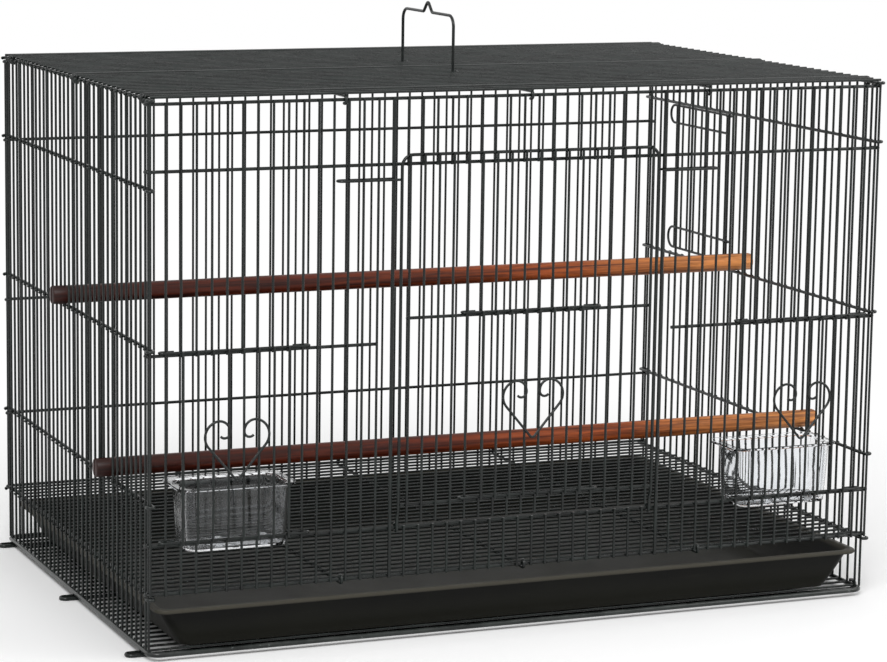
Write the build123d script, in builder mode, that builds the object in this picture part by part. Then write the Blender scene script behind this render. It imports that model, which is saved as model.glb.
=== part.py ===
from build123d import *
import os

os.makedirs("parts", exist_ok=True)

# Flight bird cage of welded wire panels, in millimetres.
# The origin is on the floor, midway between the corner uprights.
# +X runs along the cage to the right, +Y from the doors to the back, +Z up.

# Wire grid: every upright stands on a whole step, counted from the left or front corner
pitch = 12.0
length_steps = 51
depth_steps = 34

# Wire diameters
upright_d = 2.0
rail_d = 2.6
post_d = 2.8
ring_d = 4.0
rod_d = 3.0
door_wire_d = 2.0
door_frame_d = 2.5
nest_wire_d = 2.2
handle_d = 2.5

# Gaps between wires
weld_gap = 0.03
curl_gap = 0.15
hinge_gap = 0.1
slide_gap = 0.45
rest_gap = 0.3
tip = 1.2

# Heights of the rails over the base ring
front_door_rail = 364.5
feeder_rail = 227.5
sill_rail = 83.5
left_upper_rail = 350.8
nest_rail = 369.8
perch_rail_upper = 231.5
perch_rail_lower = 114.0
floor_side_rail = 43.4
back_upper_rail = 347.5
back_middle_rail = 210.0
back_lower_rail = 110.8
top_wires = 419.5

# Steps of the front openings, cross wires and stubs
centre_post = 16
feeder_posts = (1, 10)
feeder_stub_end = 15
cross_steps = (12.75, 25.5, 38.25)
top_rod_steps = (1.5, 16.5, 32.5)

# Base
ring_corner_r = 9.0
base_rod_steps = (1.5, 16.5, 32.5)
foot_reach = 12.0
foot_loop_r = 4.0
foot_return = 20.0

# Centre door
door_stand_off = 2.7
door_top = 371.8
door_corner_r = 9.0
door_low_wire = 102.0
door_mid_wire = 247.0
door_bar_foot = 88.5
door_jog_top = 98.0
door_jog_foot = 92.0
door_jog_r = 5.0
latch_height = 353.5
latch_outer_step = 13
latch_outer_reach = 4.0
latch_inner_reach = 3.0
latch_travel = 5.6

# Small sliding door in the centre door, and the feeder doors
small_door_bars = (22, 29)
slide_eye_reach = 4.2
slide_eye_return = 12.0
edge_bar_d = 2.4
bar_foot = 2.0
feeder_eye_reach = 5.0

# Hearts, from the foot of the V
heart_foot_r = 2.5
heart_shoulder = (22.5, 26.5)
heart_top = (16.5, 46.0)
heart_inner = (5.6, 37.0)
heart_end = (13.0, 34.5)
small_heart_height = 148.6
feeder_heart_height = 131.0

# Nest-box door on the right side
nest_posts = (21, 31)
nest_upper_legs = (366.4, 350.4)
nest_lower_legs = (255.0, 236.5)
nest_leg_end_in = 4.0
nest_free_leg_in = 6.0

# Perches
perch_d = 15.0
perch_overhang = 11.0
perch_kerf = 2.8
perch_chamfer = 0.8
perch_upper_step = 19
perch_lower_step = 9

# Cups
cup_step = 6
cup_width = 84.0
cup_depth = 44.0
cup_taper = 4.0
cup_foot = 75.0
cup_height = 49.0
cup_wall = 1.6
cup_corner_r = 9.0
cup_rim_side = 5.5
cup_rim_back = 7.0
cup_rim_t = 2.0
cup_hook_steps = (4.5, 7.5)
cup_hook_width = 6.0
cup_hook_t = 1.6
cup_hook_drop = 6.0

# Tray
tray_side_in = 5.0
tray_front_out = 1.5
tray_back_in = 7.0
tray_height = 31.7
tray_flare_side = 22.0
tray_flare_end = 12.0
tray_wall = 2.0
tray_lip = 4.0
tray_lip_t = 3.0
tray_corner_r = 10.0

# Handle
handle_steps = (12.5, 21.5)
handle_height = 47.8
handle_corner_r = 9.0
hump_half_width = 9.0
hump_height = 9.0
hump_r = 3.0

# Sizes that follow from those above
length = length_steps * pitch
depth = depth_steps * pitch
ring_z = ring_d / 2 + curl_gap + rod_d
rail_in = (upright_d + rail_d) / 2 + weld_gap
hook_r = (upright_d + rail_d) / 2 + curl_gap
side_in = hook_r - rail_in
corner_in = rail_in + hook_r
cross_z = ring_z + top_wires - (upright_d + rail_d) / 2 - weld_gap
top_rod_z = cross_z + (rod_d + rail_d) / 2 + weld_gap
side_top_z = top_rod_z - (rod_d + rail_d) / 2 - curl_gap
panel_top_z = side_top_z - rail_d - curl_gap
floor_side_z = ring_z + floor_side_rail
grate_z = floor_side_z + (upright_d + rail_d) / 2 + weld_gap
panel_floor_z = floor_side_z + rail_d + curl_gap
sill_z = ring_z + sill_rail
feeder_rail_z = ring_z + feeder_rail
door_rail_z = ring_z + front_door_rail
nest_rail_z = ring_z + nest_rail
perch_upper_z = ring_z + perch_rail_upper
perch_lower_z = ring_z + perch_rail_lower
base_top_z = ring_z + ring_d / 2
bent_r = 0.98


def x_at(side, step, inward=0.0):
    """X of a step counted from the left (side -1) or right (side 1) corner."""
    return side * (length / 2 - step * pitch - inward)


def y_at(side, step, inward=0.0):
    """Y of a step counted from the front (side -1) or back (side 1) corner."""
    return side * (depth / 2 - step * pitch - inward)


def straight_wires(plane, spots, wire_d, run):
    """Straight wires of one length, one through each spot of the plane."""
    with BuildSketch(plane) as sections:
        with Locations(*spots):
            Circle(wire_d / 2)
    extrude(sections.sketch, amount=run)


def swept_wire(path, wire_d):
    """One wire along a finished path."""
    with BuildSketch(Plane(origin=path @ 0, z_dir=path % 0)) as section:
        Circle(wire_d / 2)
    sweep(section.sketch, path=path)


def bent_wire(points, bends, wire_d):
    """One wire along straight runs joined by round bends."""
    with BuildLine() as path:
        FilletPolyline(*points, radius=bends)
    swept_wire(path.wire(), wire_d)


def uprights(spots, low, high, wire_d=upright_d):
    """Upright wires between two heights."""
    straight_wires(Plane.XY.offset(low), spots, wire_d, high - low)


def end_panel_hook(side, end, z):
    """Curl of a front or back rail round the corner upright of a side panel."""
    outside = x_at(side, 0, side_in - hook_r)
    return [
        (x_at(side, 0, side_in + tip), y_at(end, 0, corner_in + hook_r), z),
        (outside, y_at(end, 0, corner_in + hook_r), z),
        (outside, y_at(end, 0, rail_in), z),
    ]


def end_panel_rail(end, z):
    """Rail across the whole front (end -1) or back (end 1) panel."""
    left = end_panel_hook(-1, end, z)
    right = end_panel_hook(1, end, z)
    bent_wire(left + right[::-1], [hook_r * bent_r] * 4, rail_d)


def side_panel_hook(side, end, z):
    """Curl of a side rail round the corner upright of the front or back panel."""
    return [
        (x_at(side, 0, -hook_r), y_at(end, 0, tip), z),
        (x_at(side, 0, -hook_r), y_at(end, 0, -hook_r), z),
        (x_at(side, 0, hook_r), y_at(end, 0, -hook_r), z),
    ]


def side_panel_rail(side, z):
    """Rail along the whole of a side panel."""
    front = side_panel_hook(side, -1, z)
    back = side_panel_hook(side, 1, z)
    bent_wire(front + back[::-1], [hook_r * bent_r] * 4, rail_d)


# Front panel: three openings, with the feeder rail left out between the feeder doors
upright_foot_z = panel_floor_z - rail_d / 2
upright_top_z = panel_top_z + rail_d / 2
centre_bars = range(centre_post + 1, length_steps - centre_post)
left_feeder_bars = range(feeder_posts[0] + 1, feeder_posts[1])
right_feeder_bars = [length_steps - step for step in left_feeder_bars]
feeder_bars = list(left_feeder_bars) + right_feeder_bars
post_steps = (centre_post, length_steps - centre_post)
front_y = y_at(-1, 0)
post_y = front_y - (post_d - upright_d) / 2

with BuildPart() as front_panel:
    open_steps = set(centre_bars) | set(feeder_bars) | set(post_steps)
    full_steps = [step for step in range(length_steps + 1) if step not in open_steps]
    uprights([(x_at(-1, step), front_y) for step in full_steps], upright_foot_z, upright_top_z)
    uprights([(x_at(-1, step), post_y) for step in post_steps], upright_foot_z, upright_top_z, post_d)
    low_spots = [(x_at(-1, step), front_y) for step in list(centre_bars) + feeder_bars]
    uprights(low_spots, upright_foot_z, sill_z + rail_d / 2)
    centre_spots = [(x_at(-1, step), front_y) for step in centre_bars]
    uprights(centre_spots, door_rail_z - rail_d / 2, upright_top_z)
    feeder_spots = [(x_at(-1, step), front_y) for step in feeder_bars]
    uprights(feeder_spots, feeder_rail_z - rail_d / 2, upright_top_z)
    for rail_z in (panel_floor_z, sill_z, door_rail_z, panel_top_z):
        end_panel_rail(-1, rail_z)
    for side in (-1, 1):
        stub_end = (x_at(side, feeder_stub_end, tip), y_at(-1, 0, rail_in), feeder_rail_z)
        bent_wire(end_panel_hook(side, -1, feeder_rail_z) + [stub_end], [hook_r * bent_r] * 2, rail_d)
front_panel.part.label = "front_panel"
export_step(front_panel.part, "parts/front_panel.step")

# Back panel: whole uprights down to the base ring, apart from the corner ones
with BuildPart() as back_panel:
    back_y = y_at(1, 0)
    corner_spots = [(x_at(side, 0), back_y) for side in (-1, 1)]
    uprights(corner_spots, upright_foot_z, upright_top_z)
    back_spots = [(x_at(-1, step), back_y) for step in range(1, length_steps)]
    uprights(back_spots, base_top_z + weld_gap, upright_top_z)
    for rail_z in (panel_floor_z, ring_z + back_lower_rail, ring_z + back_middle_rail,
                   ring_z + back_upper_rail, panel_top_z):
        end_panel_rail(1, rail_z)
back_panel.part.label = "back_panel"
export_step(back_panel.part, "parts/back_panel.step")


def side_upright_spots(side, steps):
    """Places of a side panel's uprights on whole steps."""
    return [(x_at(side, 0, side_in), y_at(-1, step)) for step in steps]


side_foot_z = base_top_z + weld_gap
side_upright_top_z = side_top_z + tip
nest_steps = range(nest_posts[0] + 1, nest_posts[1])

with BuildPart() as left_side_panel:
    corners = [(x_at(-1, 0, side_in), y_at(end, 0, corner_in)) for end in (-1, 1)]
    uprights(corners + side_upright_spots(-1, range(1, depth_steps)), side_foot_z, side_upright_top_z)
    for rail_z in (floor_side_z, perch_lower_z, perch_upper_z, ring_z + left_upper_rail, side_top_z):
        side_panel_rail(-1, rail_z)
left_side_panel.part.label = "left_side_panel"
export_step(left_side_panel.part, "parts/left_side_panel.step")

with BuildPart() as right_side_panel:
    corners = [(x_at(1, 0, side_in), y_at(end, 0, corner_in)) for end in (-1, 1)]
    whole_steps = [step for step in range(1, depth_steps) if step not in nest_steps]
    uprights(corners + side_upright_spots(1, whole_steps), side_foot_z, side_upright_top_z)
    uprights(side_upright_spots(1, nest_steps), side_foot_z, perch_upper_z + rail_d / 2)
    uprights(side_upright_spots(1, nest_steps), nest_rail_z - rail_d / 2, side_upright_top_z)
    for rail_z in (floor_side_z, perch_lower_z, perch_upper_z, nest_rail_z, side_top_z):
        side_panel_rail(1, rail_z)
right_side_panel.part.label = "right_side_panel"
export_step(right_side_panel.part, "parts/right_side_panel.step")


def cross_wire(x, rail_z, run_z):
    """Wire from front to back, curled round the front and back rails at both ends."""
    reach = run_z - rail_z
    curl = abs(reach)
    points = []
    for end in (-1, 1):
        hook = [
            (x, y_at(end, 0, rail_in + tip), rail_z - reach),
            (x, y_at(end, 0, rail_in - curl), rail_z - reach),
            (x, y_at(end, 0, rail_in - curl), run_z),
        ]
        points += hook if end < 0 else hook[::-1]
    bent_wire(points, [curl * bent_r] * 4, rail_d)


with BuildPart() as top_panel:
    spots = [(y_at(-1, step), ring_z + top_wires) for step in range(depth_steps + 1)]
    straight_wires(Plane.YZ.offset(x_at(-1, 0)), spots, upright_d, length)
    for step in cross_steps:
        cross_wire(x_at(-1, step), panel_top_z, cross_z)
top_panel.part.label = "top_panel"
export_step(top_panel.part, "parts/top_panel.step")

with BuildPart() as floor_grate:
    grate_in = side_in + upright_d / 2 + rest_gap
    spots = [(y_at(-1, step), grate_z) for step in range(1, depth_steps)]
    straight_wires(Plane.YZ.offset(x_at(-1, 0, grate_in)), spots, upright_d, length - 2 * grate_in)
    for step in cross_steps:
        cross_wire(x_at(-1, step), panel_floor_z, floor_side_z)
floor_grate.part.label = "floor_grate"
export_step(floor_grate.part, "parts/floor_grate.step")

# Base: a round-cornered ring, the wires inside it, and three rods under it
with BuildPart() as base_ring:
    with BuildSketch(Plane.XY.offset(ring_z), mode=Mode.PRIVATE) as ring_line:
        RectangleRounded(length, depth, ring_corner_r)
    swept_wire(ring_line.sketch.wire(), ring_d)
base_ring.part.label = "base_ring"
export_step(base_ring.part, "parts/base_ring.step")

with BuildPart() as base_panel:
    base_in = ring_d / 2
    spots = [(y_at(-1, step), base_top_z - upright_d / 2) for step in range(1, depth_steps)]
    straight_wires(Plane.YZ.offset(x_at(-1, 0, base_in)), spots, upright_d, length - 2 * base_in)
base_panel.part.label = "base_panel"
export_step(base_panel.part, "parts/base_panel.step")


def base_rod(step):
    """Rod under the ring: a flat open loop for a foot on the left, a curl on the right."""
    y = y_at(-1, step)
    low_z = rod_d / 2
    curl = ring_z - low_z
    loop_x = x_at(-1, 0, -foot_reach)
    points = [
        (x_at(-1, 0, foot_return - foot_reach), y + 2 * foot_loop_r, low_z),
        (loop_x, y + 2 * foot_loop_r, low_z),
        (loop_x, y, low_z),
        (x_at(1, 0, -curl), y, low_z),
        (x_at(1, 0, -curl), y, ring_z + curl),
        (x_at(1, 0, tip), y, ring_z + curl),
    ]
    bends = [foot_loop_r * bent_r] * 2 + [curl * bent_r] * 2
    with BuildPart() as rod:
        bent_wire(points, bends, rod_d)
    return rod


base_rod_front = base_rod(base_rod_steps[0])
base_rod_front.part.label = "base_rod_front"
export_step(base_rod_front.part, "parts/base_rod_front.step")
base_rod_middle = base_rod(base_rod_steps[1])
base_rod_middle.part.label = "base_rod_middle"
export_step(base_rod_middle.part, "parts/base_rod_middle.step")
base_rod_rear = base_rod(base_rod_steps[2])
base_rod_rear.part.label = "base_rod_rear"
export_step(base_rod_rear.part, "parts/base_rod_rear.step")


def top_rod(y):
    """Rod over the top panel, with both ends curled round the side panels' top rails."""
    curl = top_rod_z - side_top_z
    points = []
    for side in (-1, 1):
        hook = [
            (x_at(side, 0, hook_r + tip), y, side_top_z - curl),
            (x_at(side, 0, hook_r - curl), y, side_top_z - curl),
            (x_at(side, 0, hook_r - curl), y, top_rod_z),
        ]
        points += hook if side < 0 else hook[::-1]
    with BuildPart() as rod:
        bent_wire(points, [curl * bent_r] * 4, rod_d)
    return rod


top_rod_front = top_rod(y_at(-1, top_rod_steps[0]))
top_rod_front.part.label = "top_rod_front"
export_step(top_rod_front.part, "parts/top_rod_front.step")
top_rod_middle = top_rod(y_at(-1, top_rod_steps[1]))
top_rod_middle.part.label = "top_rod_middle"
export_step(top_rod_middle.part, "parts/top_rod_middle.step")
top_rod_rear = top_rod(y_at(-1, top_rod_steps[2]))
top_rod_rear.part.label = "top_rod_rear"
export_step(top_rod_rear.part, "parts/top_rod_rear.step")

# Centre door: an upside-down U whose feet curl round the sill
frame_y = front_y - door_stand_off
door_bar_y = frame_y - (door_frame_d + upright_d) / 2 - weld_gap
door_eye_r = (rail_d + door_frame_d) / 2 + hinge_gap
sill_y = y_at(-1, 0, rail_in)
door_leg_step = centre_post + 0.5


def door_leg(side):
    """One leg of the door frame, from the end of its eye up to the frame's corner."""
    x = x_at(side, door_leg_step)
    eye_front = sill_y - door_eye_r
    eye_back = sill_y + door_eye_r
    return [
        (x, sill_y - rest_gap, sill_z + door_eye_r),
        (x, eye_back, sill_z + door_eye_r),
        (x, eye_back, sill_z - door_eye_r),
        (x, eye_front, sill_z - door_eye_r),
        (x, eye_front, ring_z + door_jog_foot),
        (x, frame_y, ring_z + door_jog_top),
        (x, frame_y, ring_z + door_top),
    ]


with BuildPart() as centre_door_frame:
    eye_bends = [door_eye_r * bent_r] * 3
    jog_bends = [door_jog_r] * 2
    leg_bends = eye_bends + jog_bends + [door_corner_r]
    bent_wire(door_leg(-1) + door_leg(1)[::-1], leg_bends + leg_bends[::-1], door_frame_d)
centre_door_frame.part.label = "centre_door_frame"
export_step(centre_door_frame.part, "parts/centre_door_frame.step")

with BuildPart() as centre_door_bars:
    bar_foot_z = ring_z + door_bar_foot
    bar_top_z = ring_z + door_top + door_frame_d / 2
    low_wire_z = ring_z + door_low_wire
    mid_wire_z = ring_z + door_mid_wire
    hatch_steps = range(small_door_bars[0], small_door_bars[1] + 1)
    whole_steps = [step for step in centre_bars if step not in hatch_steps]
    uprights([(x_at(-1, step), door_bar_y) for step in whole_steps], bar_foot_z, bar_top_z)
    hatch_spots = [(x_at(-1, step), door_bar_y) for step in hatch_steps]
    uprights(hatch_spots, bar_foot_z, low_wire_z + door_frame_d / 2)
    uprights(hatch_spots, mid_wire_z - door_frame_d / 2, bar_top_z)
    low_in = door_frame_d / 2 + weld_gap
    straight_wires(Plane.YZ.offset(x_at(-1, door_leg_step, low_in)), [(frame_y, low_wire_z)],
                   door_frame_d, 2 * x_at(1, door_leg_step, low_in))
    straight_wires(Plane.YZ.offset(x_at(-1, centre_post + 1, -tip)), [(frame_y, mid_wire_z)],
                   door_frame_d, 2 * x_at(1, centre_post + 1, -tip))
centre_door_bars.part.label = "centre_door_bars"
export_step(centre_door_bars.part, "parts/centre_door_bars.step")


def latch(side):
    """Hairpin with a leg on each side of the uprights by the centre door, drawn back to free it."""
    front = frame_y - door_frame_d / 2 - slide_gap - door_wire_d / 2
    rear = front_y + upright_d / 2 + slide_gap + door_wire_d / 2
    outer = x_at(side, latch_outer_step, -latch_outer_reach - latch_travel)
    inner = x_at(side, door_leg_step, latch_inner_reach - latch_travel)
    z = ring_z + latch_height
    points = [(inner, front, z), (outer, front, z), (outer, rear, z), (inner, rear, z)]
    with BuildPart() as hairpin:
        bent_wire(points, [(rear - front) / 2 * bent_r] * 2, door_wire_d)
    return hairpin


latch_left = latch(-1)
latch_left.part.label = "latch_left"
export_step(latch_left.part, "parts/latch_left.step")
latch_right = latch(1)
latch_right.part.label = "latch_right"
export_step(latch_right.part, "parts/latch_right.step")


def sliding_wire(left_x, right_x, guide_y, z, eye_return):
    """Cross wire of a sliding door: both ends turn back behind the uprights that guide it."""
    reach = upright_d / 2 + slide_gap + door_wire_d / 2
    points = [
        (left_x + eye_return, guide_y + reach, z),
        (left_x, guide_y + reach, z),
        (left_x, guide_y - reach, z),
        (right_x, guide_y - reach, z),
        (right_x, guide_y + reach, z),
        (right_x - eye_return, guide_y + reach, z),
    ]
    bent_wire(points, [reach * bent_r] * 4, door_wire_d)
    return guide_y - reach


def sliding_bars(steps, wire_y, low_z, high_z):
    """Bars in front of a sliding door's cross wires, the two edge ones thicker."""
    bar_y = wire_y - (door_wire_d + upright_d) / 2 - weld_gap
    edge_y = wire_y - (door_wire_d + edge_bar_d) / 2 - weld_gap
    middle = [(x_at(-1, step), bar_y) for step in steps[1:-1]]
    edges = [(x_at(-1, step), edge_y) for step in (steps[0], steps[-1])]
    uprights(middle, low_z - bar_foot, high_z + door_wire_d / 2)
    uprights(edges, low_z - bar_foot, high_z + door_wire_d / 2, edge_bar_d)


def heart(x, y, foot_z):
    """Heart bent from one wire, facing the front, with its foot at the given height."""
    def spot(point, side):
        return (x + side * point[0], y, foot_z + point[1])

    with BuildPart() as wire:
        with BuildLine() as path:
            FilletPolyline(spot(heart_shoulder, -1), (x, y, foot_z), spot(heart_shoulder, 1),
                           radius=heart_foot_r)
            for side in (-1, 1):
                rise = (side * heart_shoulder[0], 0, heart_shoulder[1])
                lobe = TangentArc(spot(heart_shoulder, side), spot(heart_top, side), tangent=rise)
                turn = TangentArc(lobe @ 1, spot(heart_inner, side), tangent=lobe % 1)
                TangentArc(turn @ 1, spot(heart_end, side), tangent=turn % 1)
        swept_wire(path.wire(), door_wire_d)
    return wire


# Small sliding door: its eyes run on two bars of the centre door
small_low_z = low_wire_z + (door_frame_d + door_wire_d) / 2 + rest_gap
small_high_z = mid_wire_z + (door_frame_d + door_wire_d) / 2 + rest_gap
with BuildPart() as small_door:
    left_x = x_at(-1, small_door_bars[0] - 1, -slide_eye_reach)
    right_x = x_at(-1, small_door_bars[1] + 1, slide_eye_reach)
    for wire_z in (small_low_z, small_high_z):
        small_wire_y = sliding_wire(left_x, right_x, door_bar_y, wire_z, slide_eye_return)
    sliding_bars(list(hatch_steps), small_wire_y, small_low_z, small_high_z)
small_door.part.label = "small_door"
export_step(small_door.part, "parts/small_door.step")

heart_in_front = (door_wire_d + upright_d) / 2 + (upright_d + door_wire_d) / 2 + 2 * weld_gap
small_door_heart = heart(0, small_wire_y - heart_in_front, ring_z + small_heart_height)
small_door_heart.part.label = "small_door_heart"
export_step(small_door_heart.part, "parts/small_door_heart.step")

# Feeder doors: their eyes run on uprights of the front panel
feeder_low_z = sill_z + (rail_d + door_wire_d) / 2 + rest_gap
feeder_high_z = feeder_rail_z + (rail_d + door_wire_d) / 2 + rest_gap


def feeder_door(bars):
    """Feeder door over the given steps, which run from left to right."""
    with BuildPart() as door:
        left_x = x_at(-1, bars[0] - 1, -feeder_eye_reach)
        right_x = x_at(-1, bars[-1] + 1, feeder_eye_reach)
        for wire_z in (feeder_low_z, feeder_high_z):
            wire_y = sliding_wire(left_x, right_x, front_y, wire_z, slide_eye_return)
        sliding_bars(bars, wire_y, feeder_low_z, feeder_high_z)
    return door


feeder_wire_y = front_y - (upright_d + door_wire_d) / 2 - slide_gap
feeder_heart_y = feeder_wire_y - heart_in_front
feeder_centre = (feeder_posts[0] + feeder_posts[1]) / 2
feeder_heart_z = ring_z + feeder_heart_height
feeder_door_left = feeder_door(list(left_feeder_bars))
feeder_door_left.part.label = "feeder_door_left"
export_step(feeder_door_left.part, "parts/feeder_door_left.step")
feeder_door_right = feeder_door(sorted(right_feeder_bars))
feeder_door_right.part.label = "feeder_door_right"
export_step(feeder_door_right.part, "parts/feeder_door_right.step")
feeder_door_left_heart = heart(x_at(-1, feeder_centre), feeder_heart_y, feeder_heart_z)
feeder_door_left_heart.part.label = "feeder_door_left_heart"
export_step(feeder_door_left_heart.part, "parts/feeder_door_left_heart.step")
feeder_door_right_heart = heart(x_at(1, feeder_centre), feeder_heart_y, feeder_heart_z)
feeder_door_right_heart.part.label = "feeder_door_right_heart"
export_step(feeder_door_right_heart.part, "parts/feeder_door_right_heart.step")

# Nest-box door: two hairpins, hung by an eye each on the front post, carry its bars
nest_eye_r = (upright_d + nest_wire_d) / 2 + hinge_gap
nest_post_x = x_at(1, 0, side_in)
nest_post_y = y_at(-1, nest_posts[0])
nest_wire_x = nest_post_x + nest_eye_r
nest_end_y = y_at(-1, nest_posts[1]) - nest_leg_end_in


def nest_hairpin(eye_z, free_z):
    """Hairpin with its eye at one height and its free leg below it."""
    eye_back = nest_post_y + nest_eye_r
    eye_front = nest_post_y - nest_eye_r
    inner_x = nest_post_x - nest_eye_r
    points = [
        (nest_post_x + rest_gap, eye_back, eye_z),
        (inner_x, eye_back, eye_z),
        (inner_x, eye_front, eye_z),
        (nest_wire_x, eye_front, eye_z),
        (nest_wire_x, nest_end_y, eye_z),
        (nest_wire_x, nest_end_y, free_z),
        (nest_wire_x, nest_post_y + nest_free_leg_in, free_z),
    ]
    bends = [nest_eye_r * bent_r] * 3 + [(eye_z - free_z) / 2 * bent_r] * 2
    with BuildPart() as hairpin:
        bent_wire(points, bends, nest_wire_d)
    return hairpin


nest_door_upper_loop = nest_hairpin(ring_z + nest_upper_legs[0], ring_z + nest_upper_legs[1])
nest_door_upper_loop.part.label = "nest_door_upper_loop"
export_step(nest_door_upper_loop.part, "parts/nest_door_upper_loop.step")
nest_door_lower_loop = nest_hairpin(ring_z + nest_lower_legs[0], ring_z + nest_lower_legs[1])
nest_door_lower_loop.part.label = "nest_door_lower_loop"
export_step(nest_door_lower_loop.part, "parts/nest_door_lower_loop.step")

with BuildPart() as nest_door_bars:
    nest_bar_x = nest_wire_x + (nest_wire_d + upright_d) / 2 + weld_gap
    nest_low_z = ring_z + nest_lower_legs[1] - nest_wire_d / 2
    nest_high_z = ring_z + nest_upper_legs[0] + nest_wire_d / 2
    uprights([(nest_bar_x, y_at(-1, step)) for step in nest_steps], nest_low_z, nest_high_z)
nest_door_bars.part.label = "nest_door_bars"
export_step(nest_door_bars.part, "parts/nest_door_bars.step")

# Tray: flared walls under a lip, floor just over the base wires
tray_z = base_top_z + rest_gap
tray_width = length - 2 * tray_side_in
tray_front_y = front_y - tray_front_out
tray_back_y = y_at(1, 0, tray_back_in)
tray_depth = tray_back_y - tray_front_y
tray_y = (tray_front_y + tray_back_y) / 2
tray_foot_width = tray_width - 2 * tray_flare_side
tray_foot_depth = tray_depth - 2 * tray_flare_end
with BuildPart() as tray:
    for inset, low, mode in ((tray_lip, 0, Mode.ADD), (tray_lip + tray_wall, tray_wall, Mode.SUBTRACT)):
        with BuildSketch(Plane.XY.offset(tray_z + low)):
            with Locations((0, tray_y)):
                RectangleRounded(tray_foot_width - 2 * low, tray_foot_depth - 2 * low, tray_corner_r)
        with BuildSketch(Plane.XY.offset(tray_z + tray_height)):
            with Locations((0, tray_y)):
                RectangleRounded(tray_width - 2 * inset, tray_depth - 2 * inset, tray_corner_r)
        loft(mode=mode)
    with BuildSketch(Plane.XY.offset(tray_z + tray_height - tray_lip_t)):
        with Locations((0, tray_y)):
            RectangleRounded(tray_width, tray_depth, tray_corner_r)
            lip_hole = tray_lip + tray_wall
            RectangleRounded(tray_width - 2 * lip_hole, tray_depth - 2 * lip_hole, tray_corner_r,
                             mode=Mode.SUBTRACT)
    extrude(amount=tray_lip_t)
tray.part.label = "tray"
export_step(tray.part, "parts/tray.step")


def cup(side):
    """Open cup behind a feeder door, hooked over the sill between the uprights."""
    x = x_at(side, cup_step)
    front = y_at(-1, 0, rail_in + rail_d / 2 + 2 * rest_gap)
    foot_z = ring_z + cup_foot
    body_y = front + cup_depth / 2
    with BuildPart() as body:
        for wall in (0, cup_wall):
            with BuildSketch(Plane.XY.offset(foot_z + wall)):
                with Locations((x, body_y)):
                    RectangleRounded(cup_width - cup_taper - 2 * wall, cup_depth - cup_taper - 2 * wall,
                                     cup_corner_r - wall)
            with BuildSketch(Plane.XY.offset(foot_z + cup_height)):
                with Locations((x, body_y)):
                    RectangleRounded(cup_width - 2 * wall, cup_depth - 2 * wall, cup_corner_r - wall)
            loft(mode=Mode.SUBTRACT if wall else Mode.ADD)
        with BuildSketch(Plane.XY.offset(foot_z + cup_height - cup_rim_t)):
            with Locations((x, body_y + cup_rim_back / 2)):
                RectangleRounded(cup_width + 2 * cup_rim_side, cup_depth + cup_rim_back, cup_corner_r)
            with Locations((x, body_y)):
                RectangleRounded(cup_width - 2 * cup_wall, cup_depth - 2 * cup_wall,
                                 cup_corner_r - cup_wall, mode=Mode.SUBTRACT)
        extrude(amount=cup_rim_t)
        hook_z = sill_z + rail_d / 2 + rest_gap
        lip_back = sill_y - rail_d / 2 - rest_gap
        hook_root = front + cup_taper / 2 + cup_wall / 4
        for step in cup_hook_steps:
            with BuildSketch(Plane.YZ.offset(x_at(side, step) - cup_hook_width / 2)):
                with BuildLine():
                    Polyline(
                        (hook_root, hook_z),
                        (lip_back, hook_z),
                        (lip_back, hook_z - cup_hook_drop),
                        (lip_back - cup_hook_t, hook_z - cup_hook_drop),
                        (lip_back - cup_hook_t, hook_z + cup_hook_t),
                        (hook_root, hook_z + cup_hook_t),
                        close=True,
                    )
                make_face()
            extrude(amount=cup_hook_width)
    return body


cup_left = cup(-1)
cup_left.part.label = "cup_left"
export_step(cup_left.part, "parts/cup_left.step")
cup_right = cup(1)
cup_right.part.label = "cup_right"
export_step(cup_right.part, "parts/cup_right.step")


def perch(step, rail_z):
    """Dowel across the cage, with a kerf in each end that straddles a side upright."""
    y = y_at(-1, step)
    z = rail_z + rail_d / 2 + rest_gap + perch_d / 2
    run = length + 2 * perch_overhang
    kerf_run = perch_overhang + side_in + upright_d / 2 + slide_gap
    with BuildPart() as dowel:
        with BuildSketch(Plane.YZ.offset(-run / 2)):
            with Locations((y, z)):
                Circle(perch_d / 2)
        extrude(amount=run)
        chamfer(dowel.edges().filter_by(GeomType.CIRCLE), perch_chamfer)
        kerf_x = run / 2 - kerf_run / 2
        with Locations((-kerf_x, y, z), (kerf_x, y, z)):
            Box(kerf_run, perch_kerf, perch_d, mode=Mode.SUBTRACT)
    return dowel


perch_upper = perch(perch_upper_step, perch_upper_z)
perch_upper.part.label = "perch_upper"
export_step(perch_upper.part, "parts/perch_upper.step")
perch_lower = perch(perch_lower_step, perch_lower_z)
perch_lower.part.label = "perch_lower"
export_step(perch_lower.part, "parts/perch_lower.step")

# Handle: a bail whose feet curl round the middle cross wire of the top panel
with BuildPart() as handle:
    handle_eye_r = (rail_d + handle_d) / 2 + hinge_gap
    leg_x = x_at(-1, cross_steps[1], -handle_eye_r)
    far_x = x_at(-1, cross_steps[1], handle_eye_r)
    bar_z = cross_z + handle_height
    leg_ys = [y_at(-1, step) for step in handle_steps]
    middle_y = sum(leg_ys) / 2
    feet = []
    for leg_y in leg_ys:
        feet.append([
            (leg_x + handle_eye_r, leg_y, cross_z + handle_eye_r),
            (far_x, leg_y, cross_z + handle_eye_r),
            (far_x, leg_y, cross_z - handle_eye_r),
            (leg_x, leg_y, cross_z - handle_eye_r),
            (leg_x, leg_y, bar_z),
        ])
    hump = [
        (leg_x, middle_y - hump_half_width, bar_z),
        (leg_x, middle_y, bar_z + hump_height),
        (leg_x, middle_y + hump_half_width, bar_z),
    ]
    foot_bends = [handle_eye_r * bent_r] * 3 + [handle_corner_r]
    bent_wire(feet[0] + hump + feet[1][::-1], foot_bends + [hump_r] * 3 + foot_bends[::-1], handle_d)
handle.part.label = "handle"
export_step(handle.part, "parts/handle.step")
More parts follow.
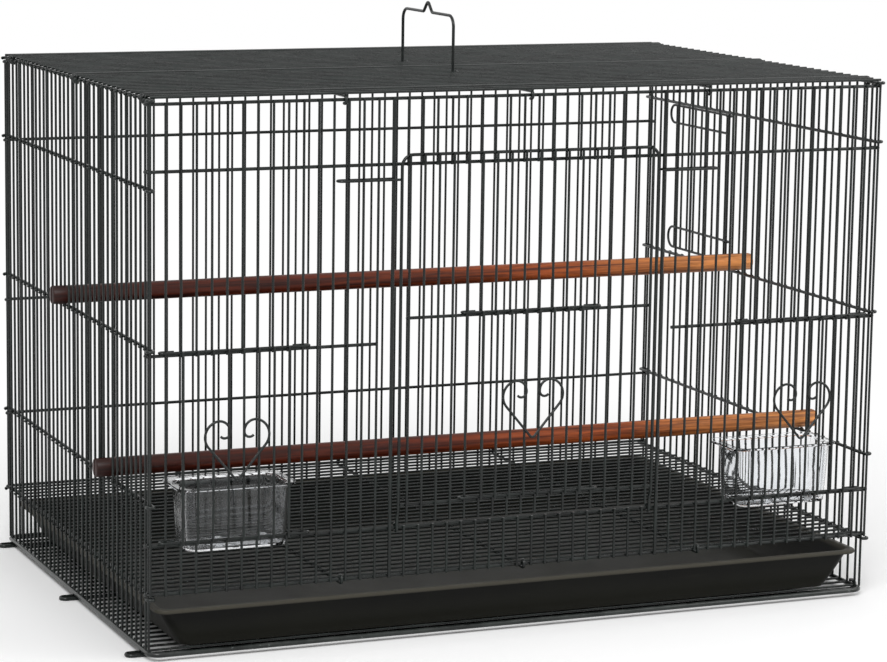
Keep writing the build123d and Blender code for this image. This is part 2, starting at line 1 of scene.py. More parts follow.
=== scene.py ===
import math

import bpy
from mathutils import Euler, Matrix, Vector


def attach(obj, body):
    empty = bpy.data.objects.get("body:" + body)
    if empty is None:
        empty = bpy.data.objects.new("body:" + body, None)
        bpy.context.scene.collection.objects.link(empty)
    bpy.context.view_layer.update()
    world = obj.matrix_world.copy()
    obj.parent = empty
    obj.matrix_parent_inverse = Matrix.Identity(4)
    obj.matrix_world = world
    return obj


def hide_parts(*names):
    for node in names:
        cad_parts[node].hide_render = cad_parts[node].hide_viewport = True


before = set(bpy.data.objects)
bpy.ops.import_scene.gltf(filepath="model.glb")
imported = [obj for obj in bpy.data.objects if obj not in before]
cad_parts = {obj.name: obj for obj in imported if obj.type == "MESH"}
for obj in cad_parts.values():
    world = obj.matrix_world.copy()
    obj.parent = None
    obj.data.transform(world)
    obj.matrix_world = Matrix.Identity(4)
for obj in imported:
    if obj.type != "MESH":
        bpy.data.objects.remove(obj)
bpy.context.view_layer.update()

# Flight bird cage. Sizes are in millimetres and are turned to metres when a mesh is made.
# +X runs along the cage to the right, +Y from the doors to the back, +Z up.
MM = 0.001

PITCH = 12.0
LENGTH_STEPS = 51
DEPTH_STEPS = 34
LENGTH = LENGTH_STEPS * PITCH
DEPTH = DEPTH_STEPS * PITCH

UPRIGHT_D = 2.0
RAIL_D = 2.6
POST_D = 2.8
RING_D = 4.0
ROD_D = 3.0
DOOR_WIRE_D = 2.0
DOOR_FRAME_D = 2.5
EDGE_BAR_D = 2.4
NEST_WIRE_D = 2.2
HANDLE_D = 2.5

WELD_GAP = 0.03
CURL_GAP = 0.15
HINGE_GAP = 0.1
SLIDE_GAP = 0.45
REST_GAP = 0.3
TIP = 1.2
BENT_R = 0.98

RING_Z = RING_D / 2 + CURL_GAP + ROD_D
RAIL_IN = (UPRIGHT_D + RAIL_D) / 2 + WELD_GAP
HOOK_R = (UPRIGHT_D + RAIL_D) / 2 + CURL_GAP
SIDE_IN = HOOK_R - RAIL_IN
CORNER_IN = RAIL_IN + HOOK_R
TOP_WIRES_Z = RING_Z + 419.5
CROSS_Z = TOP_WIRES_Z - (UPRIGHT_D + RAIL_D) / 2 - WELD_GAP
TOP_ROD_Z = CROSS_Z + (ROD_D + RAIL_D) / 2 + WELD_GAP
SIDE_TOP_Z = TOP_ROD_Z - (ROD_D + RAIL_D) / 2 - CURL_GAP
PANEL_TOP_Z = SIDE_TOP_Z - RAIL_D - CURL_GAP
FLOOR_SIDE_Z = RING_Z + 43.4
GRATE_Z = FLOOR_SIDE_Z + (UPRIGHT_D + RAIL_D) / 2 + WELD_GAP
PANEL_FLOOR_Z = FLOOR_SIDE_Z + RAIL_D + CURL_GAP
SILL_Z = RING_Z + 83.5
FEEDER_RAIL_Z = RING_Z + 227.5
DOOR_RAIL_Z = RING_Z + 364.5
NEST_RAIL_Z = RING_Z + 369.8
LEFT_UPPER_Z = RING_Z + 350.8
PERCH_UPPER_Z = RING_Z + 231.5
PERCH_LOWER_Z = RING_Z + 114.0
BACK_RAILS_Z = (RING_Z + 110.8, RING_Z + 210.0, RING_Z + 347.5)
BASE_TOP_Z = RING_Z + RING_D / 2

CENTRE_POST = 16
POST_STEPS = (CENTRE_POST, LENGTH_STEPS - CENTRE_POST)
CENTRE_BARS = list(range(CENTRE_POST + 1, LENGTH_STEPS - CENTRE_POST))
LEFT_FEEDER_BARS = list(range(2, 10))
RIGHT_FEEDER_BARS = sorted(LENGTH_STEPS - step for step in LEFT_FEEDER_BARS)
HATCH_BARS = list(range(22, 30))
NEST_STEPS = list(range(22, 31))
CROSS_STEPS = (12.75, 25.5, 38.25)
ROD_STEPS = (1.5, 16.5, 32.5)
DOOR_LEG_STEP = CENTRE_POST + 0.5


def x_at(side, step, inward=0.0):
    """X of a step counted from the left (side -1) or right (side 1) corner."""
    return side * (LENGTH / 2 - step * PITCH - inward)


def y_at(side, step, inward=0.0):
    """Y of a step counted from the front (side -1) or back (side 1) corner."""
    return side * (DEPTH / 2 - step * PITCH - inward)


# Scene helpers

def add_object(name, data):
    """New object in the scene that holds a mesh, a lamp or a camera."""
    piece = bpy.data.objects.new(name, data)
    bpy.context.scene.collection.objects.link(piece)
    return piece


def plain_mesh(piece):
    """Plain mesh of an object with its modifiers done; the object itself is removed."""
    bpy.context.view_layer.update()
    graph = bpy.context.evaluated_depsgraph_get()
    made = bpy.data.meshes.new_from_object(piece.evaluated_get(graph))
    bpy.data.objects.remove(piece)
    return made


# Node helpers

def feed(tree, socket, value):
    """Input linked from another socket, or set to a plain value."""
    if isinstance(value, bpy.types.NodeSocket):
        tree.links.new(value, socket)
    else:
        socket.default_value = value


def set_inputs(tree, node, **values):
    """Inputs of a node by name, with an underscore for each space."""
    for name, value in values.items():
        feed(tree, node.inputs[name.replace("_", " ")], value)


def node_of(tree, kind, **values):
    """New node with its properties and, after in_, its inputs set by name."""
    node = tree.nodes.new(kind)
    for name, value in values.items():
        if name.startswith("in_"):
            set_inputs(tree, node, **{name[3:]: value})
        else:
            setattr(node, name, value)
    return node


def combine(tree, operation, *values, kind="ShaderNodeMath", **settings):
    """Result of a math node whose inputs are sockets or plain values, in order."""
    node = node_of(tree, kind, operation=operation, **settings)
    for socket, value in zip(node.inputs, values):
        feed(tree, socket, value)
    return node.outputs[0]


def shader_group(name, inputs, outputs):
    """Empty shader node group with its sockets, its input node and its output node."""
    group = bpy.data.node_groups.new(name, "ShaderNodeTree")
    for label, kind, value in inputs:
        socket = group.interface.new_socket(label, in_out="INPUT", socket_type=kind)
        socket.default_value = value
    for label, kind in outputs:
        group.interface.new_socket(label, in_out="OUTPUT", socket_type=kind)
    return group, group.nodes.new("NodeGroupInput").outputs, group.nodes.new("NodeGroupOutput")


def remap(tree, source, low, high, to_low=0.0, to_high=1.0):
    """Value stretched from one range to another and clamped."""
    node = node_of(tree, "ShaderNodeMapRange", clamp=True, in_Value=source, in_From_Min=low,
                   in_From_Max=high, in_To_Min=to_low, in_To_Max=to_high)
    return node.outputs["Result"]


def blend_colour(tree, mask, first, second, kind="MIX"):
    """Two colours mixed by a mask; each is a socket or a plain colour."""
    node = node_of(tree, "ShaderNodeMix", data_type="RGBA", blend_type=kind)
    mask_slot, first_slot, second_slot, colour_out = 0, 6, 7, 2
    feed(tree, node.inputs[mask_slot], mask)
    for colour, slot in ((first, first_slot), (second, second_slot)):
        feed(tree, node.inputs[slot], (*colour, 1.0) if isinstance(colour, tuple) else colour)
    return node.outputs[colour_out]


def object_noise(tree, coords, scale, detail=3.0, roughness=0.5, distortion=0.0):
    """Noise over the piece's own coordinates."""
    node = node_of(tree, "ShaderNodeTexNoise", in_Vector=coords, in_Scale=scale, in_Detail=detail,
                   in_Roughness=roughness, in_Distortion=distortion)
    return node.outputs["Fac"]


def stretched_noise(tree, coords, stretch, detail, roughness=0.5, distortion=0.0):
    """Noise drawn out along the piece: one scale for each direction."""
    mapping = node_of(tree, "ShaderNodeMapping", in_Vector=coords, in_Scale=stretch)
    return object_noise(tree, mapping.outputs["Vector"], 1.0, detail, roughness, distortion)


def axis_of(tree, vector, axis):
    """One direction of a vector, as a value."""
    return node_of(tree, "ShaderNodeSeparateXYZ", in_Vector=vector).outputs[axis]


def make_dust_group():
    """Dust and handling marks: a mask that gathers on faces that look up, broken by noise."""
    group, given, result = shader_group(
        "Settled Dust",
        [("Scale", "NodeSocketFloat", 60.0), ("Amount", "NodeSocketFloat", 0.3)],
        [("Mask", "NodeSocketFloat")])
    coords = group.nodes.new("ShaderNodeTexCoord").outputs["Object"]
    patches = remap(group, object_noise(group, coords, given["Scale"], 5.0, 0.65), 0.42, 0.7)
    normal = group.nodes.new("ShaderNodeNewGeometry").outputs["Normal"]
    upward = remap(group, axis_of(group, normal, "Z"), 0.1, 1.0)
    gathered = combine(group, "MULTIPLY", patches, upward)
    set_inputs(group, result, Mask=combine(group, "MULTIPLY", gathered, given["Amount"]))
    return group


def make_mottle_group():
    """Uneven colour and thickness of a coat: a mask and a small bump height."""
    group, given, result = shader_group(
        "Uneven Coat",
        [("Scale", "NodeSocketFloat", 90.0), ("Contrast", "NodeSocketFloat", 1.0)],
        [("Mask", "NodeSocketFloat"), ("Height", "NodeSocketFloat")])
    coords = group.nodes.new("ShaderNodeTexCoord").outputs["Object"]
    broad = object_noise(group, coords, given["Scale"], 3.0, 0.55)
    centred = combine(group, "SUBTRACT", broad, 0.5)
    spread = combine(group, "MULTIPLY_ADD", centred, given["Contrast"], 0.5, use_clamp=True)
    fine = object_noise(group, coords, 900.0, 2.0)
    set_inputs(group, result, Mask=spread, Height=fine)
    return group


DUST = make_dust_group()
MOTTLE = make_mottle_group()


def group_node(tree, group, **values):
    """A shared effect placed in a material with its own values."""
    node = node_of(tree, "ShaderNodeGroup", node_tree=group)
    set_inputs(tree, node, **values)
    return node


def new_material(name):
    """New material with its node tree, its Principled BSDF and its object coordinates."""
    material = bpy.data.materials.new(name)
    material.use_nodes = True
    tree = material.node_tree
    shader = tree.nodes["Principled BSDF"]
    coords = tree.nodes.new("ShaderNodeTexCoord").outputs["Object"]
    return material, tree, shader, coords


def add_bump(tree, shader, height, strength, distance):
    """Bump from a height, in metres at full strength."""
    node = node_of(tree, "ShaderNodeBump", in_Strength=strength, in_Distance=distance,
                   in_Height=height)
    set_inputs(tree, shader, Normal=node.outputs["Normal"])


def coated_wire(name, dark, light, chip, gloss, dust):
    """Dipped gloss coat on steel wire: uneven colour, thin spots, a little dust on top."""
    material, tree, shader, coords = new_material(name)
    coat = group_node(tree, MOTTLE, Scale=42.0, Contrast=2.6)
    colour = blend_colour(tree, coat.outputs["Mask"], dark, light)
    thin = remap(tree, object_noise(tree, coords, 210.0, 4.0, 0.7), 0.66, 0.74, 0.0, 0.8)
    colour = blend_colour(tree, thin, colour, chip)
    powder = group_node(tree, DUST, Scale=55.0, Amount=dust)
    colour = blend_colour(tree, powder.outputs["Mask"], colour, (0.2, 0.205, 0.2))
    rough = remap(tree, coat.outputs["Mask"], 0.0, 1.0, gloss, gloss + 0.16)
    set_inputs(tree, shader, Base_Color=colour, Roughness=rough, Specular_IOR_Level=0.3,
               Coat_Weight=0.06, Coat_Roughness=0.12)
    add_bump(tree, shader, coat.outputs["Height"], 0.25, 0.00015)
    return material


def tray_plastic():
    """Moulded black sheet plastic: satin, olive towards the foot of the wall, with a painted
    highlight along the lip.
    """
    material, tree, shader, coords = new_material("moulded_tray_plastic")
    coat = group_node(tree, MOTTLE, Scale=14.0, Contrast=2.0)
    black, worn_black = (0.0012, 0.0012, 0.001), (0.0055, 0.0056, 0.0042)
    colour = blend_colour(tree, coat.outputs["Mask"], black, worn_black)
    height = axis_of(tree, coords, "Z")
    wall_z, wall_olive = (0.03, 0.012), (0.0095, 0.0095, 0.0068)
    # Painted highlight: a lighter olive band along the top of the lip stands in for its sheen.
    lip_sheen_z, lip_painted_sheen = (0.0355, 0.0375), (0.042, 0.039, 0.03)
    colour = blend_colour(tree, remap(tree, height, *wall_z), colour, wall_olive)
    colour = blend_colour(tree, remap(tree, height, *lip_sheen_z), colour, lip_painted_sheen)
    scuffs = stretched_noise(tree, coords, (18.0, 160.0, 220.0), 6.0, 0.7)
    scuffed = remap(tree, scuffs, 0.6, 0.78, 0.0, 0.5)
    colour = blend_colour(tree, scuffed, colour, (0.014, 0.0145, 0.0105))
    powder = group_node(tree, DUST, Scale=30.0, Amount=0.1)
    colour = blend_colour(tree, powder.outputs["Mask"], colour, (0.09, 0.09, 0.07))
    rough = remap(tree, coat.outputs["Mask"], 0.0, 1.0, 0.34, 0.5)
    set_inputs(tree, shader, Base_Color=colour, Roughness=rough, Specular_IOR_Level=0.12)
    add_bump(tree, shader, coat.outputs["Height"], 0.3, 0.0003)
    return material


def clear_plastic():
    """Clear moulded cup plastic: slightly cloudy, with fine surface waves."""
    material, tree, shader, coords = new_material("clear_cup_plastic")
    cloud = group_node(tree, MOTTLE, Scale=26.0, Contrast=1.5)
    colour = blend_colour(tree, cloud.outputs["Mask"], (0.93, 0.95, 0.97), (0.985, 0.99, 1.0))
    rough = remap(tree, cloud.outputs["Mask"], 0.0, 1.0, 0.0, 0.05)
    set_inputs(tree, shader, Base_Color=colour, Roughness=rough, Transmission_Weight=1.0, IOR=1.3)
    add_bump(tree, shader, object_noise(tree, coords, 70.0, 2.0), 0.12, 0.0005)
    return material


def perch_wood():
    """Stained dowel: grain along X, a stain that thins from deep red brown to tan at the right."""
    material, tree, shader, coords = new_material("stained_perch_wood")
    grain = stretched_noise(tree, coords, (9.0, 260.0, 260.0), 6.0, 0.62, 0.6)
    drift = object_noise(tree, coords, 9.0, 2.0)
    along = combine(tree, "MULTIPLY_ADD", drift, 0.16, axis_of(tree, coords, "X"))
    stain = node_of(tree, "ShaderNodeValToRGB", in_Fac=remap(tree, along, -0.24, 0.38))
    ramp = stain.color_ramp
    stops = ((0.0, (0.02, 0.0035, 0.002)), (0.42, (0.1, 0.017, 0.006)),
             (0.72, (0.3, 0.07, 0.017)), (1.0, (0.6, 0.26, 0.085)))
    while len(ramp.elements) < len(stops):
        ramp.elements.new(0.5)
    for element, (position, colour) in zip(ramp.elements, stops):
        element.position = position
        element.color = (*colour, 1.0)
    streak = remap(tree, grain, 0.35, 0.62)
    colour = blend_colour(tree, streak, (0.24, 0.17, 0.14), (1.3, 1.2, 1.1))
    colour = blend_colour(tree, 1.0, stain.outputs["Color"], colour, "MULTIPLY")
    pores = stretched_noise(tree, coords, (60.0, 1400.0, 1400.0), 3.0)
    open_pores = remap(tree, pores, 0.6, 0.72, 0.0, 0.7)
    colour = blend_colour(tree, open_pores, colour, (0.03, 0.008, 0.004))
    rough = remap(tree, grain, 0.3, 0.7, 0.5, 0.34)
    set_inputs(tree, shader, Base_Color=colour, Roughness=rough, Specular_IOR_Level=0.25)
    add_bump(tree, shader, grain, 0.5, 0.0004)
    return material


WIRE = coated_wire("gloss_wire_coat", (0.0018, 0.0026, 0.0024), (0.0085, 0.0125, 0.0112),
                   (0.05, 0.062, 0.057), 0.2, 0.12)
RING = coated_wire("base_ring_coat", (0.006, 0.0074, 0.007), (0.024, 0.029, 0.027),
                   (0.16, 0.18, 0.17), 0.2, 0.25)
TRAY = tray_plastic()
CLEAR = clear_plastic()
WOOD = perch_wood()


# Geometry Nodes trees

def geometry_tree(name, inputs):
    """Empty geometry tree with its named inputs, its input node and its output node."""
    tree = bpy.data.node_groups.new(name, "GeometryNodeTree")
    tree.interface.new_socket("Geometry", in_out="INPUT", socket_type="NodeSocketGeometry")
    for label, kind, value in inputs:
        socket = tree.interface.new_socket(label, in_out="INPUT", socket_type=kind)
        if value is not None:
            socket.default_value = value
    tree.interface.new_socket("Geometry", in_out="OUTPUT", socket_type="NodeSocketGeometry")
    return tree, tree.nodes.new("NodeGroupInput").outputs, tree.nodes.new("NodeGroupOutput")


def named(tree, name):
    """Number stored on each point of a wire's path, as a field."""
    node = node_of(tree, "GeometryNodeInputNamedAttribute", data_type="FLOAT", in_Name=name)
    return node.outputs["Attribute"]


def finish_tree(tree, result, geometry, coat):
    """End of a tree: instances made real, and the coat set."""
    real = node_of(tree, "GeometryNodeRealizeInstances", in_Geometry=geometry)
    coated = node_of(tree, "GeometryNodeSetMaterial", in_Geometry=real.outputs["Geometry"],
                     in_Material=coat)
    set_inputs(tree, result, Geometry=coated.outputs["Geometry"])
    return tree


def make_wire_tree():
    """Wires swept along their paths: formed ones get their bends, straight ones a slight waver."""
    tree, given, result = geometry_tree("Cage Wires", [
        ("Sides", "NodeSocketInt", 12), ("Bend Steps", "NodeSocketInt", 7),
        ("Waver", "NodeSocketFloat", 0.0003), ("Seed", "NodeSocketFloat", 3.0),
        ("Coat", "NodeSocketMaterial", None)])
    paths = node_of(tree, "GeometryNodeMeshToCurve", in_Mesh=given["Geometry"])
    split = node_of(tree, "GeometryNodeSeparateGeometry", domain="CURVE",
                    in_Geometry=paths.outputs["Curve"], in_Selection=named(tree, "formed"))
    bent = node_of(tree, "GeometryNodeFilletCurve", mode="POLY",
                   in_Curve=split.outputs["Selection"], in_Count=given["Bend Steps"],
                   in_Radius=named(tree, "bend"))
    noise = node_of(tree, "ShaderNodeTexNoise", noise_dimensions="4D", in_Scale=9.0, in_Detail=1.0,
                    in_W=given["Seed"])
    centred = combine(tree, "SUBTRACT", noise.outputs["Color"], (0.5, 0.5, 0.5),
                      kind="ShaderNodeVectorMath")
    amount = combine(tree, "MULTIPLY", given["Waver"], named(tree, "loose"))
    offset = node_of(tree, "ShaderNodeVectorMath", operation="SCALE", in_Vector=centred,
                     in_Scale=amount)
    wavered = node_of(tree, "GeometryNodeSetPosition", in_Geometry=split.outputs["Inverted"],
                      in_Offset=offset.outputs["Vector"])
    joined = tree.nodes.new("GeometryNodeJoinGeometry")
    tree.links.new(bent.outputs["Curve"], joined.inputs["Geometry"])
    tree.links.new(wavered.outputs["Geometry"], joined.inputs["Geometry"])
    section = node_of(tree, "GeometryNodeCurvePrimitiveCircle", mode="RADIUS", in_Radius=1.0,
                      in_Resolution=given["Sides"])
    sweep = node_of(tree, "GeometryNodeCurveToMesh", in_Curve=joined.outputs["Geometry"],
                    in_Profile_Curve=section.outputs["Curve"],
                    in_Scale=named(tree, "half_thickness"), in_Fill_Caps=True)
    return finish_tree(tree, result, sweep.outputs["Mesh"], given["Coat"])


def make_weld_tree():
    """Resistance welds: one small bead where two wires cross, no two quite the same size."""
    tree, given, result = geometry_tree("Weld Beads", [
        ("Bead Radius", "NodeSocketFloat", 0.0012), ("Variation", "NodeSocketFloat", 0.18),
        ("Seed", "NodeSocketInt", 11), ("Coat", "NodeSocketMaterial", None)])
    bead = node_of(tree, "GeometryNodeMeshIcoSphere", in_Subdivisions=2,
                   in_Radius=given["Bead Radius"])
    smallest = combine(tree, "SUBTRACT", 1.0, given["Variation"])
    size = node_of(tree, "FunctionNodeRandomValue", data_type="FLOAT", in_Seed=given["Seed"])
    tree.links.new(smallest, size.inputs["Min"])
    placed = node_of(tree, "GeometryNodeInstanceOnPoints", in_Points=given["Geometry"],
                     in_Instance=bead.outputs["Mesh"], in_Scale=size.outputs["Value"])
    return finish_tree(tree, result, placed.outputs["Instances"], given["Coat"])


WIRE_TREE = make_wire_tree()
WELD_TREE = make_weld_tree()
PATH_COLUMNS = ("formed", "bend", "loose", "half_thickness")
RUN_LENGTH = 4 * PITCH
SMOOTH_ANGLE = math.radians(40)


def shade(mesh):
    """Smooth faces, with sharp edges where they turn by more than the smooth angle."""
    mesh.polygons.foreach_set("use_smooth", [True] * len(mesh.polygons))
    mesh.set_sharp_from_angle(angle=SMOOTH_ANGLE)


def place(mesh, name, body, nodes=()):
    """Finished mesh as a piece that rides on a body and stands for its CAD nodes."""
    shade(mesh)
    piece = add_object(name, mesh)
    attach(piece, body)
    if nodes:
        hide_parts(*nodes)


def through_tree(mesh, tree, **inputs):
    """Plain mesh that a geometry tree makes of a mesh of paths or points."""
    source = add_object("paths", mesh)
    modifier = source.modifiers.new("nodes", "NODES")
    modifier.node_group = tree
    for item in tree.interface.items_tree:
        name = item.name.replace(" ", "_")
        if item.in_out == "INPUT" and name in inputs:
            modifier[item.identifier] = inputs[name]
    made = plain_mesh(source)
    bpy.data.meshes.remove(mesh)
    for name in PATH_COLUMNS:
        if name in made.attributes:
            made.attributes.remove(made.attributes[name])
    return made


def straight(start, end, wire_d, firm=False):
    """Straight wire, in runs of about four steps so that it can waver a little between welds."""
    start, end = Vector(start), Vector(end)
    runs = 1 if firm else max(1, round((end - start).length / RUN_LENGTH))
    points = [start.lerp(end, k / runs) for k in range(runs + 1)]
    loose = [0.0] + [1.0] * (runs - 1) + [0.0]
    return {"points": points, "bends": None, "loose": loose, "d": wire_d, "closed": False}


def curved(points, wire_d):
    """Wire along points that already follow its curve."""
    return {"points": [Vector(p) for p in points], "bends": None, "loose": [0.0] * len(points),
            "d": wire_d, "closed": False}


def formed(points, bends, wire_d, closed=False):
    """Wire of straight runs joined by round bends; an open wire has no bend at its ends."""
    radii = list(bends) if closed else [0.0] + list(bends) + [0.0]
    return {"points": [Vector(p) for p in points], "bends": radii, "loose": [0.0] * len(points),
            "d": wire_d, "closed": closed}


def wires(name, body, paths, nodes, coat=WIRE):
    """One piece made of swept wires."""
    points, edges, columns = [], [], {label: [] for label in PATH_COLUMNS}
    for path in paths:
        first = len(points)
        count = len(path["points"])
        points += [p * MM for p in path["points"]]
        edges += [(first + k, first + k + 1) for k in range(count - 1)]
        if path["closed"]:
            edges.append((first + count - 1, first))
        bends = path["bends"]
        columns["formed"] += [1.0 if bends else 0.0] * count
        columns["bend"] += [b * MM for b in bends] if bends else [0.0] * count
        columns["loose"] += path["loose"]
        columns["half_thickness"] += [path["d"] / 2 * MM] * count
    mesh = bpy.data.meshes.new(name)
    mesh.from_pydata(points, edges, [])
    for label, values in columns.items():
        mesh.attributes.new(label, "FLOAT", "POINT").data.foreach_set("value", values)
    place(through_tree(mesh, WIRE_TREE, Coat=coat), name, body, nodes)


def welds(name, body, spots):
    """One piece made of the weld beads at the given crossings."""
    bead_r = 1.25
    mesh = bpy.data.meshes.new(name)
    mesh.from_pydata([Vector(spot) * MM for spot in spots], [], [])
    beads = through_tree(mesh, WELD_TREE, Coat=WIRE, Bead_Radius=bead_r * MM)
    place(beads, name, body)


# Rails and cross wires

def end_hook(side, end, z):
    """Curl of a front or back rail round the corner upright of a side panel."""
    outside = x_at(side, 0, SIDE_IN - HOOK_R)
    return [(x_at(side, 0, SIDE_IN + TIP), y_at(end, 0, CORNER_IN + HOOK_R), z),
            (outside, y_at(end, 0, CORNER_IN + HOOK_R), z),
            (outside, y_at(end, 0, RAIL_IN), z)]


def end_rail(end, z):
    """Rail across the whole front (end -1) or back (end 1) panel."""
    path = end_hook(-1, end, z) + end_hook(1, end, z)[::-1]
    return formed(path, [HOOK_R * BENT_R] * 4, RAIL_D)


def side_hook(side, end, z):
    """Curl of a side rail round the corner upright of the front or back panel."""
    return [(x_at(side, 0, -HOOK_R), y_at(end, 0, TIP), z),
            (x_at(side, 0, -HOOK_R), y_at(end, 0, -HOOK_R), z),
            (x_at(side, 0, HOOK_R), y_at(end, 0, -HOOK_R), z)]


def side_rail(side, z):
    """Rail along the whole of a side panel."""
    path = side_hook(side, -1, z) + side_hook(side, 1, z)[::-1]
    return formed(path, [HOOK_R * BENT_R] * 4, RAIL_D)


def cross_wire(x, rail_z, run_z):
    """Wire from front to back, curled round the front and back rails at both ends."""
    reach = run_z - rail_z
    curl = abs(reach)
    points = []
    for end in (-1, 1):
        hook = [(x, y_at(end, 0, RAIL_IN + TIP), rail_z - reach),
                (x, y_at(end, 0, RAIL_IN - curl), rail_z - reach),
                (x, y_at(end, 0, RAIL_IN - curl), run_z)]
        points += hook if end < 0 else hook[::-1]
    return formed(points, [curl * BENT_R] * 4, RAIL_D)


def uprights(spots, low, high, wire_d=UPRIGHT_D):
    """Upright wires between two heights."""
    return [straight((x, y, low), (x, y, high), wire_d) for x, y in spots]


UPRIGHT_FOOT_Z = PANEL_FLOOR_Z - RAIL_D / 2
UPRIGHT_TOP_Z = PANEL_TOP_Z + RAIL_D / 2
SIDE_FOOT_Z = BASE_TOP_Z + WELD_GAP
SIDE_UPRIGHT_TOP_Z = SIDE_TOP_Z + TIP
FRONT_Y = y_at(-1, 0)
POST_Y = FRONT_Y - (POST_D - UPRIGHT_D) / 2
STUB_END_STEP = 15
WELD_IN = UPRIGHT_D / 2


def build_front_panel():
    """Front grille with the openings for the centre door and both feeder doors."""
    open_steps = set(CENTRE_BARS + LEFT_FEEDER_BARS + RIGHT_FEEDER_BARS) | set(POST_STEPS)
    full = [step for step in range(LENGTH_STEPS + 1) if step not in open_steps]
    feeder = LEFT_FEEDER_BARS + RIGHT_FEEDER_BARS

    def spots(steps, y=FRONT_Y):
        return [(x_at(-1, step), y) for step in steps]

    paths = uprights(spots(full), UPRIGHT_FOOT_Z, UPRIGHT_TOP_Z)
    paths += uprights(spots(POST_STEPS, POST_Y), UPRIGHT_FOOT_Z, UPRIGHT_TOP_Z, POST_D)
    paths += uprights(spots(CENTRE_BARS + feeder), UPRIGHT_FOOT_Z, SILL_Z + RAIL_D / 2)
    paths += uprights(spots(CENTRE_BARS), DOOR_RAIL_Z - RAIL_D / 2, UPRIGHT_TOP_Z)
    paths += uprights(spots(feeder), FEEDER_RAIL_Z - RAIL_D / 2, UPRIGHT_TOP_Z)
    heights = (PANEL_FLOOR_Z, SILL_Z, DOOR_RAIL_Z, PANEL_TOP_Z)
    paths += [end_rail(-1, z) for z in heights]
    for side in (-1, 1):
        stub = end_hook(side, -1, FEEDER_RAIL_Z)
        stub.append((x_at(side, STUB_END_STEP, TIP), y_at(-1, 0, RAIL_IN), FEEDER_RAIL_Z))
        paths.append(formed(stub, [HOOK_R * BENT_R] * 2, RAIL_D))
    wires("front_panel_wires", "cage", paths, ["front_panel"])
    weld_y = FRONT_Y + WELD_IN
    beads = [(x_at(-1, step), weld_y, z) for z in heights for step in range(1, LENGTH_STEPS)
             if z != DOOR_RAIL_Z or step not in POST_STEPS]
    beads += [(x_at(side, step), weld_y, FEEDER_RAIL_Z)
              for side in (-1, 1) for step in range(1, STUB_END_STEP + 1)]
    welds("front_panel_welds", "cage", beads)


def build_back_panel():
    """Back grille down to the base ring."""
    inner = range(1, LENGTH_STEPS)
    corners = [(x_at(side, 0), y_at(1, 0)) for side in (-1, 1)]
    paths = uprights(corners, UPRIGHT_FOOT_Z, UPRIGHT_TOP_Z)
    paths += uprights([(x_at(-1, step), y_at(1, 0)) for step in inner],
                      BASE_TOP_Z + WELD_GAP, UPRIGHT_TOP_Z)
    heights = (PANEL_FLOOR_Z, *BACK_RAILS_Z, PANEL_TOP_Z)
    paths += [end_rail(1, z) for z in heights]
    wires("back_panel_wires", "cage", paths, ["back_panel"])
    beads = [(x_at(-1, step), y_at(1, 0, WELD_IN), z) for z in heights for step in inner]
    welds("back_panel_welds", "cage", beads)


def side_spots(side, steps):
    """Places of a side panel's uprights on whole steps."""
    return [(x_at(side, 0, SIDE_IN), y_at(-1, step)) for step in steps]


def build_side_panel(side, name, upper_z, open_steps=()):
    """Side grille with its corner uprights, and an opening under the upper rail at given steps."""
    heights = (FLOOR_SIDE_Z, PERCH_LOWER_Z, PERCH_UPPER_Z, upper_z, SIDE_TOP_Z)
    corners = [(x_at(side, 0, SIDE_IN), y_at(end, 0, CORNER_IN)) for end in (-1, 1)]
    whole = [step for step in range(1, DEPTH_STEPS) if step not in open_steps]
    paths = uprights(corners + side_spots(side, whole), SIDE_FOOT_Z, SIDE_UPRIGHT_TOP_Z)
    paths += uprights(side_spots(side, open_steps), SIDE_FOOT_Z, PERCH_UPPER_Z + RAIL_D / 2)
    paths += uprights(side_spots(side, open_steps), upper_z - RAIL_D / 2, SIDE_UPRIGHT_TOP_Z)
    paths += [side_rail(side, z) for z in heights]
    wires(name + "_wires", "cage", paths, [name])
    beads = [(x_at(side, 0, SIDE_IN - WELD_IN), y_at(-1, step), z)
             for z in heights for step in range(1, DEPTH_STEPS)]
    welds(name + "_welds", "cage", beads)


def level_wires(rows, inward, z, firm=False):
    """Long wires from side to side at one height, one on each row of the depth."""
    left_x, right_x = x_at(-1, 0, inward), x_at(1, 0, inward)
    return [straight((left_x, y_at(-1, row), z), (right_x, y_at(-1, row), z), UPRIGHT_D, firm)
            for row in rows]


def build_level_panel(name, rows, inward, wires_z, rail_z, cross_z):
    """Top panel or floor grate: long wires over three cross wires."""
    paths = level_wires(rows, inward, wires_z)
    paths += [cross_wire(x_at(-1, step), rail_z, cross_z) for step in CROSS_STEPS]
    wires(name + "_wires", "cage", paths, [name])
    beads = [(x_at(-1, step), y_at(-1, row), wires_z - WELD_IN)
             for step in CROSS_STEPS for row in rows]
    welds(name + "_welds", "cage", beads)


def build_level_panels():
    """Top panel, floor grate, and the base panel's wires inside the ring."""
    inner = range(1, DEPTH_STEPS)
    grate_in = SIDE_IN + UPRIGHT_D / 2 + REST_GAP
    build_level_panel("top_panel", range(DEPTH_STEPS + 1), 0.0, TOP_WIRES_Z, PANEL_TOP_Z, CROSS_Z)
    build_level_panel("floor_grate", inner, grate_in, GRATE_Z, PANEL_FLOOR_Z, FLOOR_SIDE_Z)
    base_wires = level_wires(inner, RING_D / 2, BASE_TOP_Z - UPRIGHT_D / 2, firm=True)
    wires("base_panel_wires", "cage", base_wires, ["base_panel"])


